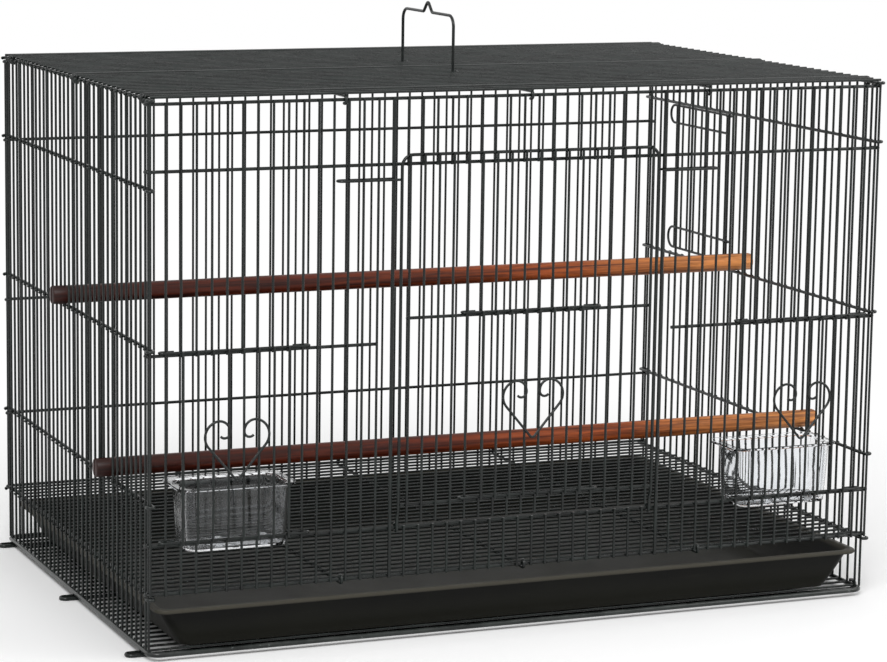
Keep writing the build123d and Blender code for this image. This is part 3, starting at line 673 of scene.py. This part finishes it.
def build_ring_and_rods():
    """Base ring, the rods under it with their loops for feet, and the rods over the top."""
    half_x, half_y, ring_corner_r = LENGTH / 2, DEPTH / 2, 9.0
    corners = [(-half_x, -half_y, RING_Z), (half_x, -half_y, RING_Z),
               (half_x, half_y, RING_Z), (-half_x, half_y, RING_Z)]
    ring = formed(corners, [ring_corner_r] * 4, RING_D, closed=True)
    wires("base_ring_wire", "cage", [ring], ["base_ring"], RING)
    names = ("front", "middle", "rear")
    foot_r, foot_reach, foot_return = 4.0, 12.0, 20.0
    low_z = ROD_D / 2
    curl = RING_Z - low_z
    for name, step in zip(names, ROD_STEPS):
        y = y_at(-1, step)
        loop_x = x_at(-1, 0, -foot_reach)
        points = [(x_at(-1, 0, foot_return - foot_reach), y + 2 * foot_r, low_z),
                  (loop_x, y + 2 * foot_r, low_z), (loop_x, y, low_z),
                  (x_at(1, 0, -curl), y, low_z), (x_at(1, 0, -curl), y, RING_Z + curl),
                  (x_at(1, 0, TIP), y, RING_Z + curl)]
        rod = formed(points, [foot_r * BENT_R] * 2 + [curl * BENT_R] * 2, ROD_D)
        wires("base_rod_" + name + "_wire", "cage", [rod], ["base_rod_" + name])
    curl = TOP_ROD_Z - SIDE_TOP_Z
    for name, step in zip(names, ROD_STEPS):
        y = y_at(-1, step)
        points = []
        for side in (-1, 1):
            hook = [(x_at(side, 0, HOOK_R + TIP), y, SIDE_TOP_Z - curl),
                    (x_at(side, 0, HOOK_R - curl), y, SIDE_TOP_Z - curl),
                    (x_at(side, 0, HOOK_R - curl), y, TOP_ROD_Z)]
            points += hook if side < 0 else hook[::-1]
        rod = formed(points, [curl * BENT_R] * 4, ROD_D)
        wires("top_rod_" + name + "_wire", "cage", [rod], ["top_rod_" + name])


# Doors

DOOR_SET_OUT = 2.7
FRAME_Y = FRONT_Y - DOOR_SET_OUT
DOOR_BAR_Y = FRAME_Y - (DOOR_FRAME_D + UPRIGHT_D) / 2 - WELD_GAP
DOOR_EYE_R = (RAIL_D + DOOR_FRAME_D) / 2 + HINGE_GAP
SILL_Y = y_at(-1, 0, RAIL_IN)
DOOR_JOG_Z = (RING_Z + 92.0, RING_Z + 98.0)
DOOR_TOP_Z = RING_Z + 371.8
DOOR_CORNER_R = 9.0
LOW_WIRE_Z = RING_Z + 102.0
MID_WIRE_Z = RING_Z + 247.0
BAR_FOOT = 2.0


def door_leg(side):
    """One leg of the door frame, from the end of its eye up to the frame's corner."""
    x = x_at(side, DOOR_LEG_STEP)
    front, back = SILL_Y - DOOR_EYE_R, SILL_Y + DOOR_EYE_R
    return [(x, SILL_Y - REST_GAP, SILL_Z + DOOR_EYE_R), (x, back, SILL_Z + DOOR_EYE_R),
            (x, back, SILL_Z - DOOR_EYE_R), (x, front, SILL_Z - DOOR_EYE_R),
            (x, front, DOOR_JOG_Z[0]), (x, FRAME_Y, DOOR_JOG_Z[1]), (x, FRAME_Y, DOOR_TOP_Z)]


def build_centre_door():
    """Drop-down door: bent frame, bars in front of it and two cross wires."""
    leg_bends = [DOOR_EYE_R * BENT_R] * 3 + [DOOR_FRAME_D * 2] * 2 + [DOOR_CORNER_R]
    path = formed(door_leg(-1) + door_leg(1)[::-1], leg_bends + leg_bends[::-1], DOOR_FRAME_D)
    wires("centre_door_frame_wire", "centre_door", [path], ["centre_door_frame"])
    foot_z = RING_Z + 88.5
    top_z = DOOR_TOP_Z + DOOR_FRAME_D / 2
    whole = [step for step in CENTRE_BARS if step not in HATCH_BARS]
    paths = uprights([(x_at(-1, step), DOOR_BAR_Y) for step in whole], foot_z, top_z)
    hatch = [(x_at(-1, step), DOOR_BAR_Y) for step in HATCH_BARS]
    paths += uprights(hatch, foot_z, LOW_WIRE_Z + DOOR_FRAME_D / 2)
    paths += uprights(hatch, MID_WIRE_Z - DOOR_FRAME_D / 2, top_z)
    low_in = DOOR_FRAME_D / 2 + WELD_GAP
    cross_ends = ((DOOR_LEG_STEP, low_in, LOW_WIRE_Z), (CENTRE_POST + 1, -TIP, MID_WIRE_Z))
    for step, inward, z in cross_ends:
        start, end = ((x_at(side, step, inward), FRAME_Y, z) for side in (-1, 1))
        paths.append(straight(start, end, DOOR_FRAME_D, firm=True))
    wires("centre_door_bar_wires", "centre_door", paths, ["centre_door_bars"])
    weld_y = DOOR_BAR_Y + WELD_IN
    beads = [(x_at(-1, step), weld_y, z) for z in (LOW_WIRE_Z, MID_WIRE_Z, DOOR_TOP_Z)
             for step in CENTRE_BARS]
    welds("centre_door_welds", "centre_door", beads)


def build_latches():
    """Hairpins with a leg on each side of the uprights by the centre door, stored drawn back."""
    front = FRAME_Y - DOOR_FRAME_D / 2 - SLIDE_GAP - DOOR_WIRE_D / 2
    rear = FRONT_Y + UPRIGHT_D / 2 + SLIDE_GAP + DOOR_WIRE_D / 2
    travel, past_guide, past_frame = 5.6, 4.0, 3.0
    outer_step, z = 13, RING_Z + 353.5
    for side, name in ((-1, "latch_left"), (1, "latch_right")):
        outer = x_at(side, outer_step, -past_guide - travel)
        inner = x_at(side, DOOR_LEG_STEP, past_frame - travel)
        points = [(inner, front, z), (outer, front, z), (outer, rear, z), (inner, rear, z)]
        bends = [(rear - front) / 2 * BENT_R] * 2
        wires(name + "_wire", name, [formed(points, bends, DOOR_WIRE_D)], [name])


def sliding_wire(left_x, right_x, guide_y, z):
    """Cross wire of a sliding door: both ends turn back behind the uprights that guide it."""
    reach = UPRIGHT_D / 2 + SLIDE_GAP + DOOR_WIRE_D / 2
    eye_return = 12.0
    points = [(left_x + eye_return, guide_y + reach, z), (left_x, guide_y + reach, z),
              (left_x, guide_y - reach, z), (right_x, guide_y - reach, z),
              (right_x, guide_y + reach, z), (right_x - eye_return, guide_y + reach, z)]
    return formed(points, [reach * BENT_R] * 4, DOOR_WIRE_D)


def sliding_door(name, bars, guide_y, eye_reach, low_z, high_z):
    """Guillotine door: two cross wires with eyes, thin bars and thicker edge bars."""
    left_x = x_at(-1, bars[0] - 1, -eye_reach)
    right_x = x_at(-1, bars[-1] + 1, eye_reach)
    wire_y = guide_y - (UPRIGHT_D + DOOR_WIRE_D) / 2 - SLIDE_GAP
    bar_y = wire_y - (DOOR_WIRE_D + UPRIGHT_D) / 2 - WELD_GAP
    edge_y = wire_y - (DOOR_WIRE_D + EDGE_BAR_D) / 2 - WELD_GAP
    foot, top = low_z - BAR_FOOT, high_z + DOOR_WIRE_D / 2
    paths = [sliding_wire(left_x, right_x, guide_y, z) for z in (low_z, high_z)]
    paths += uprights([(x_at(-1, step), bar_y) for step in bars[1:-1]], foot, top)
    edges = [(x_at(-1, step), edge_y) for step in (bars[0], bars[-1])]
    paths += uprights(edges, foot, top, EDGE_BAR_D)
    wires(name + "_wires", name, paths, [name])
    weld_y = wire_y - DOOR_WIRE_D / 2
    welds(name + "_welds", name,
          [(x_at(-1, step), weld_y, z) for z in (low_z, high_z) for step in bars])
    return wire_y


def arc_points(start, tangent, end, steps=14):
    """Points of the arc from start to end that leaves along the tangent, and its last direction."""
    chord = Vector(end) - Vector(start)
    direction = Vector(tangent).normalized()
    normal = Vector((-direction.y, direction.x))
    reach = chord.dot(normal)
    radius = chord.length_squared / (2 * reach)
    centre = Vector(start) + normal * radius
    spoke = Vector(start) - centre
    sweep = math.atan2(spoke.x * (end[1] - centre.y) - spoke.y * (end[0] - centre.x),
                       spoke.dot(Vector(end) - centre))
    if radius > 0 and sweep < 0:
        sweep += 2 * math.pi
    if radius < 0 and sweep > 0:
        sweep -= 2 * math.pi
    points = [centre + spoke @ Matrix.Rotation(-sweep * k / steps, 2) for k in range(1, steps + 1)]
    last = direction @ Matrix.Rotation(-sweep, 2)
    return points, last


def heart_wire(x, y, foot_z):
    """Heart bent from one wire, facing the front, with its foot at the given height."""
    shoulder, top, inner, end = (22.5, 26.5), (16.5, 46.0), (5.6, 37.0), (13.0, 34.5)
    foot_r = 2.5
    rise = Vector(shoulder).normalized()
    half = math.atan2(shoulder[0], shoulder[1])
    reach = foot_r / math.tan(half)
    centre_z = reach * rise.y + foot_r * math.sin(half)
    half_path = []
    for k in range(5):
        angle = (math.pi / 2 - half) * k / 4
        half_path.append(Vector((foot_r * math.sin(angle), centre_z - foot_r * math.cos(angle))))
    half_path.append(Vector(shoulder))
    points, direction = arc_points(shoulder, rise, top)
    half_path += points
    points, direction = arc_points(top, direction, inner)
    half_path += points
    points, direction = arc_points(inner, direction, end, 8)
    half_path += points
    right = [(x + p.x, y, foot_z + p.y) for p in half_path]
    left = [(x - p.x, y, foot_z + p.y) for p in half_path[1:]]
    return curved(left[::-1] + right, DOOR_WIRE_D)


def build_sliding_doors():
    """Small door in the centre door and the two feeder doors, each with its heart."""
    on_frame = (DOOR_FRAME_D + DOOR_WIRE_D) / 2 + REST_GAP
    on_rail = (RAIL_D + DOOR_WIRE_D) / 2 + REST_GAP
    doors = (("small_door", HATCH_BARS, DOOR_BAR_Y, 4.2, LOW_WIRE_Z + on_frame,
              MID_WIRE_Z + on_frame, 0.0, RING_Z + 148.6),
             ("feeder_door_left", LEFT_FEEDER_BARS, FRONT_Y, 5.0, SILL_Z + on_rail,
              FEEDER_RAIL_Z + on_rail, x_at(-1, 5.5), RING_Z + 131.0),
             ("feeder_door_right", RIGHT_FEEDER_BARS, FRONT_Y, 5.0, SILL_Z + on_rail,
              FEEDER_RAIL_Z + on_rail, x_at(1, 5.5), RING_Z + 131.0))
    for name, bars, guide_y, eye_reach, low_z, high_z, heart_x, heart_z in doors:
        wire_y = sliding_door(name, bars, guide_y, eye_reach, low_z, high_z)
        heart_y = wire_y - DOOR_WIRE_D - UPRIGHT_D - 2 * WELD_GAP
        heart = heart_wire(heart_x, heart_y, heart_z)
        wires(name + "_heart_wire", name, [heart], [name + "_heart"])


def build_nest_door():
    """Panel over the nest-box opening: bars carried by two hairpins with eyes."""
    eye_r = (UPRIGHT_D + NEST_WIRE_D) / 2 + HINGE_GAP
    post_x, post_y = x_at(1, 0, SIDE_IN), y_at(-1, 21)
    wire_x = post_x + eye_r
    bend_reach, free_end_gap = 4.0, 6.0
    end_y = y_at(-1, 31) - bend_reach
    legs = {"upper": (RING_Z + 366.4, RING_Z + 350.4), "lower": (RING_Z + 255.0, RING_Z + 236.5)}
    for name, (eye_z, free_z) in legs.items():
        points = [(post_x + REST_GAP, post_y + eye_r, eye_z),
                  (post_x - eye_r, post_y + eye_r, eye_z),
                  (post_x - eye_r, post_y - eye_r, eye_z), (wire_x, post_y - eye_r, eye_z),
                  (wire_x, end_y, eye_z), (wire_x, end_y, free_z),
                  (wire_x, post_y + free_end_gap, free_z)]
        bends = [eye_r * BENT_R] * 3 + [(eye_z - free_z) / 2 * BENT_R] * 2
        hairpin = formed(points, bends, NEST_WIRE_D)
        wires("nest_door_" + name + "_hairpin", "nest_door", [hairpin],
              ["nest_door_" + name + "_loop"])
    bar_x = wire_x + (NEST_WIRE_D + UPRIGHT_D) / 2 + WELD_GAP
    low, high = legs["lower"][1] - NEST_WIRE_D / 2, legs["upper"][0] + NEST_WIRE_D / 2
    bars = uprights([(bar_x, y_at(-1, step)) for step in NEST_STEPS], low, high)
    wires("nest_door_bar_wires", "nest_door", bars, ["nest_door_bars"])
    beads = [(bar_x - WELD_IN, y_at(-1, step), z)
             for pair in legs.values() for z in pair for step in NEST_STEPS]
    welds("nest_door_welds", "nest_door", beads)


def build_handle():
    """Bail whose feet curl round the middle cross wire of the top panel."""
    eye_r = (RAIL_D + HANDLE_D) / 2 + HINGE_GAP
    leg_x = x_at(-1, CROSS_STEPS[1], -eye_r)
    far_x = x_at(-1, CROSS_STEPS[1], eye_r)
    bar_z, corner_r = CROSS_Z + 47.8, 9.0
    hump, hump_r = 9.0, 3.0
    feet = []
    for step in (12.5, 21.5):
        y = y_at(-1, step)
        feet.append([(leg_x + eye_r, y, CROSS_Z + eye_r), (far_x, y, CROSS_Z + eye_r),
                     (far_x, y, CROSS_Z - eye_r), (leg_x, y, CROSS_Z - eye_r), (leg_x, y, bar_z)])
    middle = [(leg_x, -hump, bar_z), (leg_x, 0.0, bar_z + hump), (leg_x, hump, bar_z)]
    foot_bends = [eye_r * BENT_R] * 3 + [corner_r]
    bends = foot_bends + [hump_r] * 3 + foot_bends[::-1]
    bail = formed(feet[0] + middle + feet[1][::-1], bends, HANDLE_D)
    wires("handle_wire", "handle", [bail], ["handle"])


# Moulded and turned pieces

def rounded_loop(width, depth, corner_r, x, y, z, corner_steps=8):
    """Points of a rounded rectangle, anticlockwise seen from above."""
    points = []
    for quarter, (sx, sy) in enumerate(((1, 1), (-1, 1), (-1, -1), (1, -1))):
        cx = x + sx * (width / 2 - corner_r)
        cy = y + sy * (depth / 2 - corner_r)
        for k in range(corner_steps + 1):
            angle = math.pi / 2 * (quarter + k / corner_steps)
            points.append((cx + corner_r * math.cos(angle), cy + corner_r * math.sin(angle), z))
    return points


def mesh_of(name, points, faces, material):
    """Mesh with one material."""
    mesh = bpy.data.meshes.new(name)
    mesh.from_pydata(points, [], faces)
    mesh.validate()
    mesh.materials.append(material)
    return mesh


def shell_of(name, loops, material):
    """Closed shell over a stack of loops, from the one that closes it first to the last."""
    count = len(loops[0])
    points = [Vector(p) * MM for loop in loops for p in loop]
    faces = [list(range(count))[::-1]]
    for low in range(0, len(points) - count, count):
        for k in range(count):
            n = (k + 1) % count
            faces.append([low + k, low + n, low + count + n, low + count + k])
    faces.append(list(range(len(points) - count, len(points))))
    return mesh_of(name, points, faces, material)


def build_tray():
    """Pressed plastic tray: flared walls under a crowned lip that turns down at its edge."""
    side_gap, front_reach, back_gap = 5.0, 1.5, 7.0
    height, wall, lip, lip_t = 31.7, 2.0, 4.0, 3.0
    flare_x, flare_y = 22.0, 12.0
    foot_z = BASE_TOP_Z + REST_GAP
    front_y, back_y = FRONT_Y - front_reach, y_at(1, 0, back_gap)
    width, depth, y = LENGTH - 2 * side_gap, back_y - front_y, (front_y + back_y) / 2

    def wall_loop(share, inset, z, radius):
        """Loop at a share of the way up the flare."""
        w = width - 2 * flare_x + (2 * flare_x - 2 * lip) * share - 2 * inset
        d = depth - 2 * flare_y + (2 * flare_y - 2 * lip) * share - 2 * inset
        return rounded_loop(w, d, radius, 0, y, foot_z + z)

    def lip_loop(inset, z, radius):
        """Loop of the lip, set in from the tray's outer edge."""
        return rounded_loop(width - 2 * inset, depth - 2 * inset, radius, 0, y, foot_z + z)

    outside = [(0.0, 1.6, 0.0, 8.4), (0.0, 0.4, 0.5, 9.6), (0.0, 0.0, 1.6, 10.0),
               (0.2, 0.0, 6.0, 10.0), (0.4, 0.0, 12.0, 10.0), (0.6, 0.0, 18.0, 10.0),
               (0.86, 0.0, 26.6, 10.0), (0.9, 0.1, height - lip_t - 0.3, 10.0)]
    over_lip = [(0.6, height - lip_t, 9.4), (0.0, height - lip_t + 0.6, 10.0),
                (0.0, height - 1.0, 10.0), (0.5, height - 0.2, 9.5), (1.4, height, 8.6),
                (4.2, height, 8.0), (5.6, height - 0.3, 8.0), (6.3, height - 1.2, 8.0)]
    inside = [(0.84, wall, 26.0, 8.0), (0.5, wall, 15.6, 8.0), (0.12, wall, 4.2, 8.0),
              (0.0, wall + 0.4, 2.6, 7.6), (0.0, wall + 2.2, wall, 6.4)]
    loops = [wall_loop(*row) for row in outside] + [lip_loop(*row) for row in over_lip]
    loops += [wall_loop(*row) for row in inside]
    place(shell_of("tray_shell", loops, TRAY), "tray_shell", "tray", ["tray"])


def bevelled(mesh, name, width, segments):
    """Plain mesh with its sharp edges rounded."""
    source = add_object(name, mesh)
    modifier = source.modifiers.new("round", "BEVEL")
    modifier.width = width * MM
    modifier.segments = segments
    modifier.limit_method = "ANGLE"
    return plain_mesh(source)


def cup_hooks(side, name, root):
    """Two flat hooks that run back from the cup's rim and hang over the sill wire."""
    hook_t, drop, hook_width, edge_r = 1.6, 6.0, 6.0, 0.35
    low_z, tip_y = SILL_Z + RAIL_D / 2 + REST_GAP, SILL_Y - RAIL_D / 2 - REST_GAP
    outline = [(root, low_z), (tip_y, low_z), (tip_y, low_z - drop), (tip_y - hook_t, low_z - drop),
               (tip_y - hook_t, low_z + hook_t), (root, low_z + hook_t)]
    count = len(outline)
    points, faces = [], []
    for step in (4.5, 7.5):
        first = len(points)
        for edge_x in (x_at(side, step) - hook_width / 2, x_at(side, step) + hook_width / 2):
            points += [Vector((edge_x, y, z)) * MM for y, z in outline]
        faces.append([first + k for k in range(count)])
        faces.append([first + count + k for k in range(count)][::-1])
        for k in range(count):
            n = (k + 1) % count
            faces.append([first + n, first + k, first + count + k, first + count + n])
    return bevelled(mesh_of(name, points, faces, CLEAR), name, edge_r, 2)


def build_cup(side, name):
    """Clear cup with a flanged rim and its two hooks."""
    width, depth, taper, height, wall = 84.0, 44.0, 4.0, 49.0, 1.6
    rim_side, rim_back, rim_t = 5.5, 7.0, 2.0
    x = x_at(side, 6)
    front = y_at(-1, 0, RAIL_IN + RAIL_D / 2 + 2 * REST_GAP)
    y = front + depth / 2
    foot_z = RING_Z + 75.0

    def body_loop(share, inset, z, radius):
        """Loop at a share of the way up the taper."""
        w = width - taper * (1 - share) - 2 * inset
        d = depth - taper * (1 - share) - 2 * inset
        return rounded_loop(w, d, radius, x, y, foot_z + z)

    def rim_loop(inset, z, radius):
        """Loop of the rim, set in from its outer edge."""
        return rounded_loop(width + 2 * rim_side - 2 * inset, depth + rim_back - 2 * inset, radius,
                            x, y + rim_back / 2, foot_z + z)

    loops = [body_loop(0, 2.4, 0.0, 6.6), body_loop(0, 0.7, 0.5, 8.3), body_loop(0, 0.0, 2.2, 9.0),
             body_loop(0.5, 0.0, height / 2, 9.0), body_loop(0.95, 0.0, height - rim_t - 0.5, 9.0),
             body_loop(1.0, -0.05, height - rim_t, 9.0),
             rim_loop(0.5, height - rim_t, 8.5), rim_loop(0.0, height - rim_t + 0.5, 9.0),
             rim_loop(0.0, height - 0.5, 9.0), rim_loop(0.5, height, 8.5),
             body_loop(1.0, wall - 0.6, height, 8.4), body_loop(1.0, wall, height - 0.8, 7.4),
             body_loop(0.5, wall, height / 2, 7.4), body_loop(0.04, wall, wall + 2.6, 7.4),
             body_loop(0.0, wall + 0.8, wall + 0.8, 6.6), body_loop(0.0, wall + 2.6, wall, 5.0)]
    place(shell_of(name + "_shell", loops, CLEAR), name + "_shell", name, [name])
    root = front + taper / 2 + wall / 4
    place(cup_hooks(side, name + "_hooks", root), name + "_hooks", name)


def kerf_cutter(end, half, kerf_run, y, z):
    """Block that saws the kerf into one end of a perch."""
    kerf, past_end, past_side = 2.8, 3.0, 9.0
    near, far = sorted((end * (half - kerf_run), end * (half + past_end)))
    corners = [Vector((cx, y + cy, z + cz)) * MM for cz in (-past_side, past_side) for cx, cy in
               ((near, -kerf / 2), (far, -kerf / 2), (far, kerf / 2), (near, kerf / 2))]
    faces = [(0, 3, 2, 1), (4, 5, 6, 7), (0, 1, 5, 4), (1, 2, 6, 5), (2, 3, 7, 6), (3, 0, 4, 7)]
    return add_object("kerf", mesh_of("kerf", corners, faces, WOOD))


def build_perch(name, step, rail_z):
    """Turned dowel, a little uneven along its length, with a kerf sawn into each end."""
    radius, overhang, chamfer, end_run = 7.5, 11.0, 0.8, 14.0
    sides, rows = 40, 60
    y, z = y_at(-1, step), rail_z + RAIL_D / 2 + REST_GAP + radius
    half = LENGTH / 2 + overhang
    inner = half - end_run
    rounding = [(half, radius - chamfer), (half - 0.25, radius - 0.35), (half - chamfer, radius)]
    stations = [(-x, r) for x, r in rounding]
    stations += [(-inner + 2 * inner * k / rows, radius) for k in range(rows + 1)]
    stations += rounding[::-1]
    loops = []
    for x, r in stations:
        uneven = 0.06 * math.sin(x * 0.031 + step) + 0.04 * math.sin(x * 0.083 + 2.1 * step)
        loop = []
        for k in range(sides):
            angle = 2 * math.pi * k / sides
            turned_r = r - 0.12 + uneven + 0.05 * math.sin(3 * angle + x * 0.02)
            loop.append((x, y + turned_r * math.cos(angle), z + turned_r * math.sin(angle)))
        loops.append(loop)
    source = add_object("dowel", shell_of("dowel", loops, WOOD))
    kerf_run = overhang + SIDE_IN + UPRIGHT_D / 2 + SLIDE_GAP
    cutters = [kerf_cutter(end, half, kerf_run, y, z) for end in (-1, 1)]
    for cutter in cutters:
        modifier = source.modifiers.new("kerf", "BOOLEAN")
        modifier.operation = "DIFFERENCE"
        modifier.object = cutter
        modifier.solver = "EXACT"
    made = plain_mesh(source)
    for cutter in cutters:
        bpy.data.objects.remove(cutter)
    place(made, name + "_dowel", name, [name])


build_front_panel()
build_back_panel()
build_side_panel(-1, "left_side_panel", LEFT_UPPER_Z)
build_side_panel(1, "right_side_panel", NEST_RAIL_Z, NEST_STEPS)
build_level_panels()
build_ring_and_rods()
build_centre_door()
build_latches()
build_sliding_doors()
build_nest_door()
build_handle()
build_tray()
build_cup(-1, "cup_left")
build_cup(1, "cup_right")
build_perch("perch_upper", 19, PERCH_UPPER_Z)
build_perch("perch_lower", 9, PERCH_LOWER_Z)


# Stage

def studio_floor():
    """Pale floor that fades to the plain background away from the cage."""
    size = 12.0
    corners = [(-size, -size, 0), (size, -size, 0), (size, size, 0), (-size, size, 0)]
    material, tree, shader, coords = new_material("studio_floor")
    distance = node_of(tree, "ShaderNodeVectorMath", operation="LENGTH", in_Vector=coords)
    fade = remap(tree, distance.outputs["Value"], 0.36, 0.8)
    rays = tree.nodes.new("ShaderNodeLightPath").outputs
    seen = combine(tree, "ADD", rays["Is Camera Ray"], rays["Is Transmission Ray"], use_clamp=True)
    factor = combine(tree, "MULTIPLY", fade, seen)
    paper = object_noise(tree, coords, 3.0)
    colour = blend_colour(tree, paper, (0.93, 0.93, 0.93), (0.96, 0.96, 0.96))
    set_inputs(tree, shader, Base_Color=colour, Roughness=0.9, Specular_IOR_Level=0.1)
    glow = tree.nodes.new("ShaderNodeEmission")
    mix = tree.nodes.new("ShaderNodeMixShader")
    for socket, source in zip(mix.inputs, (factor, shader.outputs[0], glow.outputs[0])):
        tree.links.new(source, socket)
    set_inputs(tree, tree.nodes["Material Output"], Surface=mix.outputs[0])
    add_object("studio_floor", mesh_of("studio_floor", corners, [(0, 1, 2, 3)], material))


def area_lamp(name, location, aim, size, power):
    """Soft square lamp that faces a point."""
    data = bpy.data.lights.new(name, "AREA")
    data.size = size
    data.energy = power
    lamp = add_object(name, data)
    lamp.location = location
    lamp.rotation_euler = (Vector(aim) - Vector(location)).to_track_quat("-Z", "Y").to_euler()


def studio_light():
    """White surround and two soft lamps at a plain level."""
    world = bpy.data.worlds.new("studio_world")
    bpy.context.scene.world = world
    world.use_nodes = True
    tree = world.node_tree
    rays = tree.nodes.new("ShaderNodeLightPath").outputs
    through = combine(tree, "MAXIMUM", rays["Is Glossy Ray"], rays["Is Transmission Ray"])
    white = combine(tree, "MAXIMUM", rays["Is Camera Ray"], through)
    set_inputs(tree, tree.nodes["Background"], Color=(1.0, 1.0, 1.0, 1.0),
               Strength=remap(tree, white, 0.0, 1.0, 0.62, 1.0))
    cage_middle = (0, 0, 0.2)
    area_lamp("key_lamp", (-1.3, -2.0, 2.4), cage_middle, 1.6, 58)
    area_lamp("fill_lamp", (1.9, -1.2, 1.5), cage_middle, 1.4, 22)


def photo_camera():
    """Camera at the photograph's place, with a small shift for its framing."""
    data = bpy.data.cameras.new("photo_camera")
    data.lens = 125.1
    data.sensor_width = 36.0
    data.shift_x = 0.0683
    data.shift_y = -0.0242
    data.clip_end = 100.0
    camera = add_object("photo_camera", data)
    camera.location = (-0.9809, -2.34646, 0.63113)
    yaw, pitch, roll = (math.radians(angle) for angle in (21.86, 9.15, 0.65))
    level = Euler((math.pi / 2 - pitch, 0, -yaw), "XYZ").to_matrix()
    camera.rotation_euler = (level @ Matrix.Rotation(roll, 3, "Z")).to_euler()
    bpy.context.scene.camera = camera


studio_floor()
studio_light()
photo_camera()
bpy.context.scene.view_settings.view_transform = "Standard"
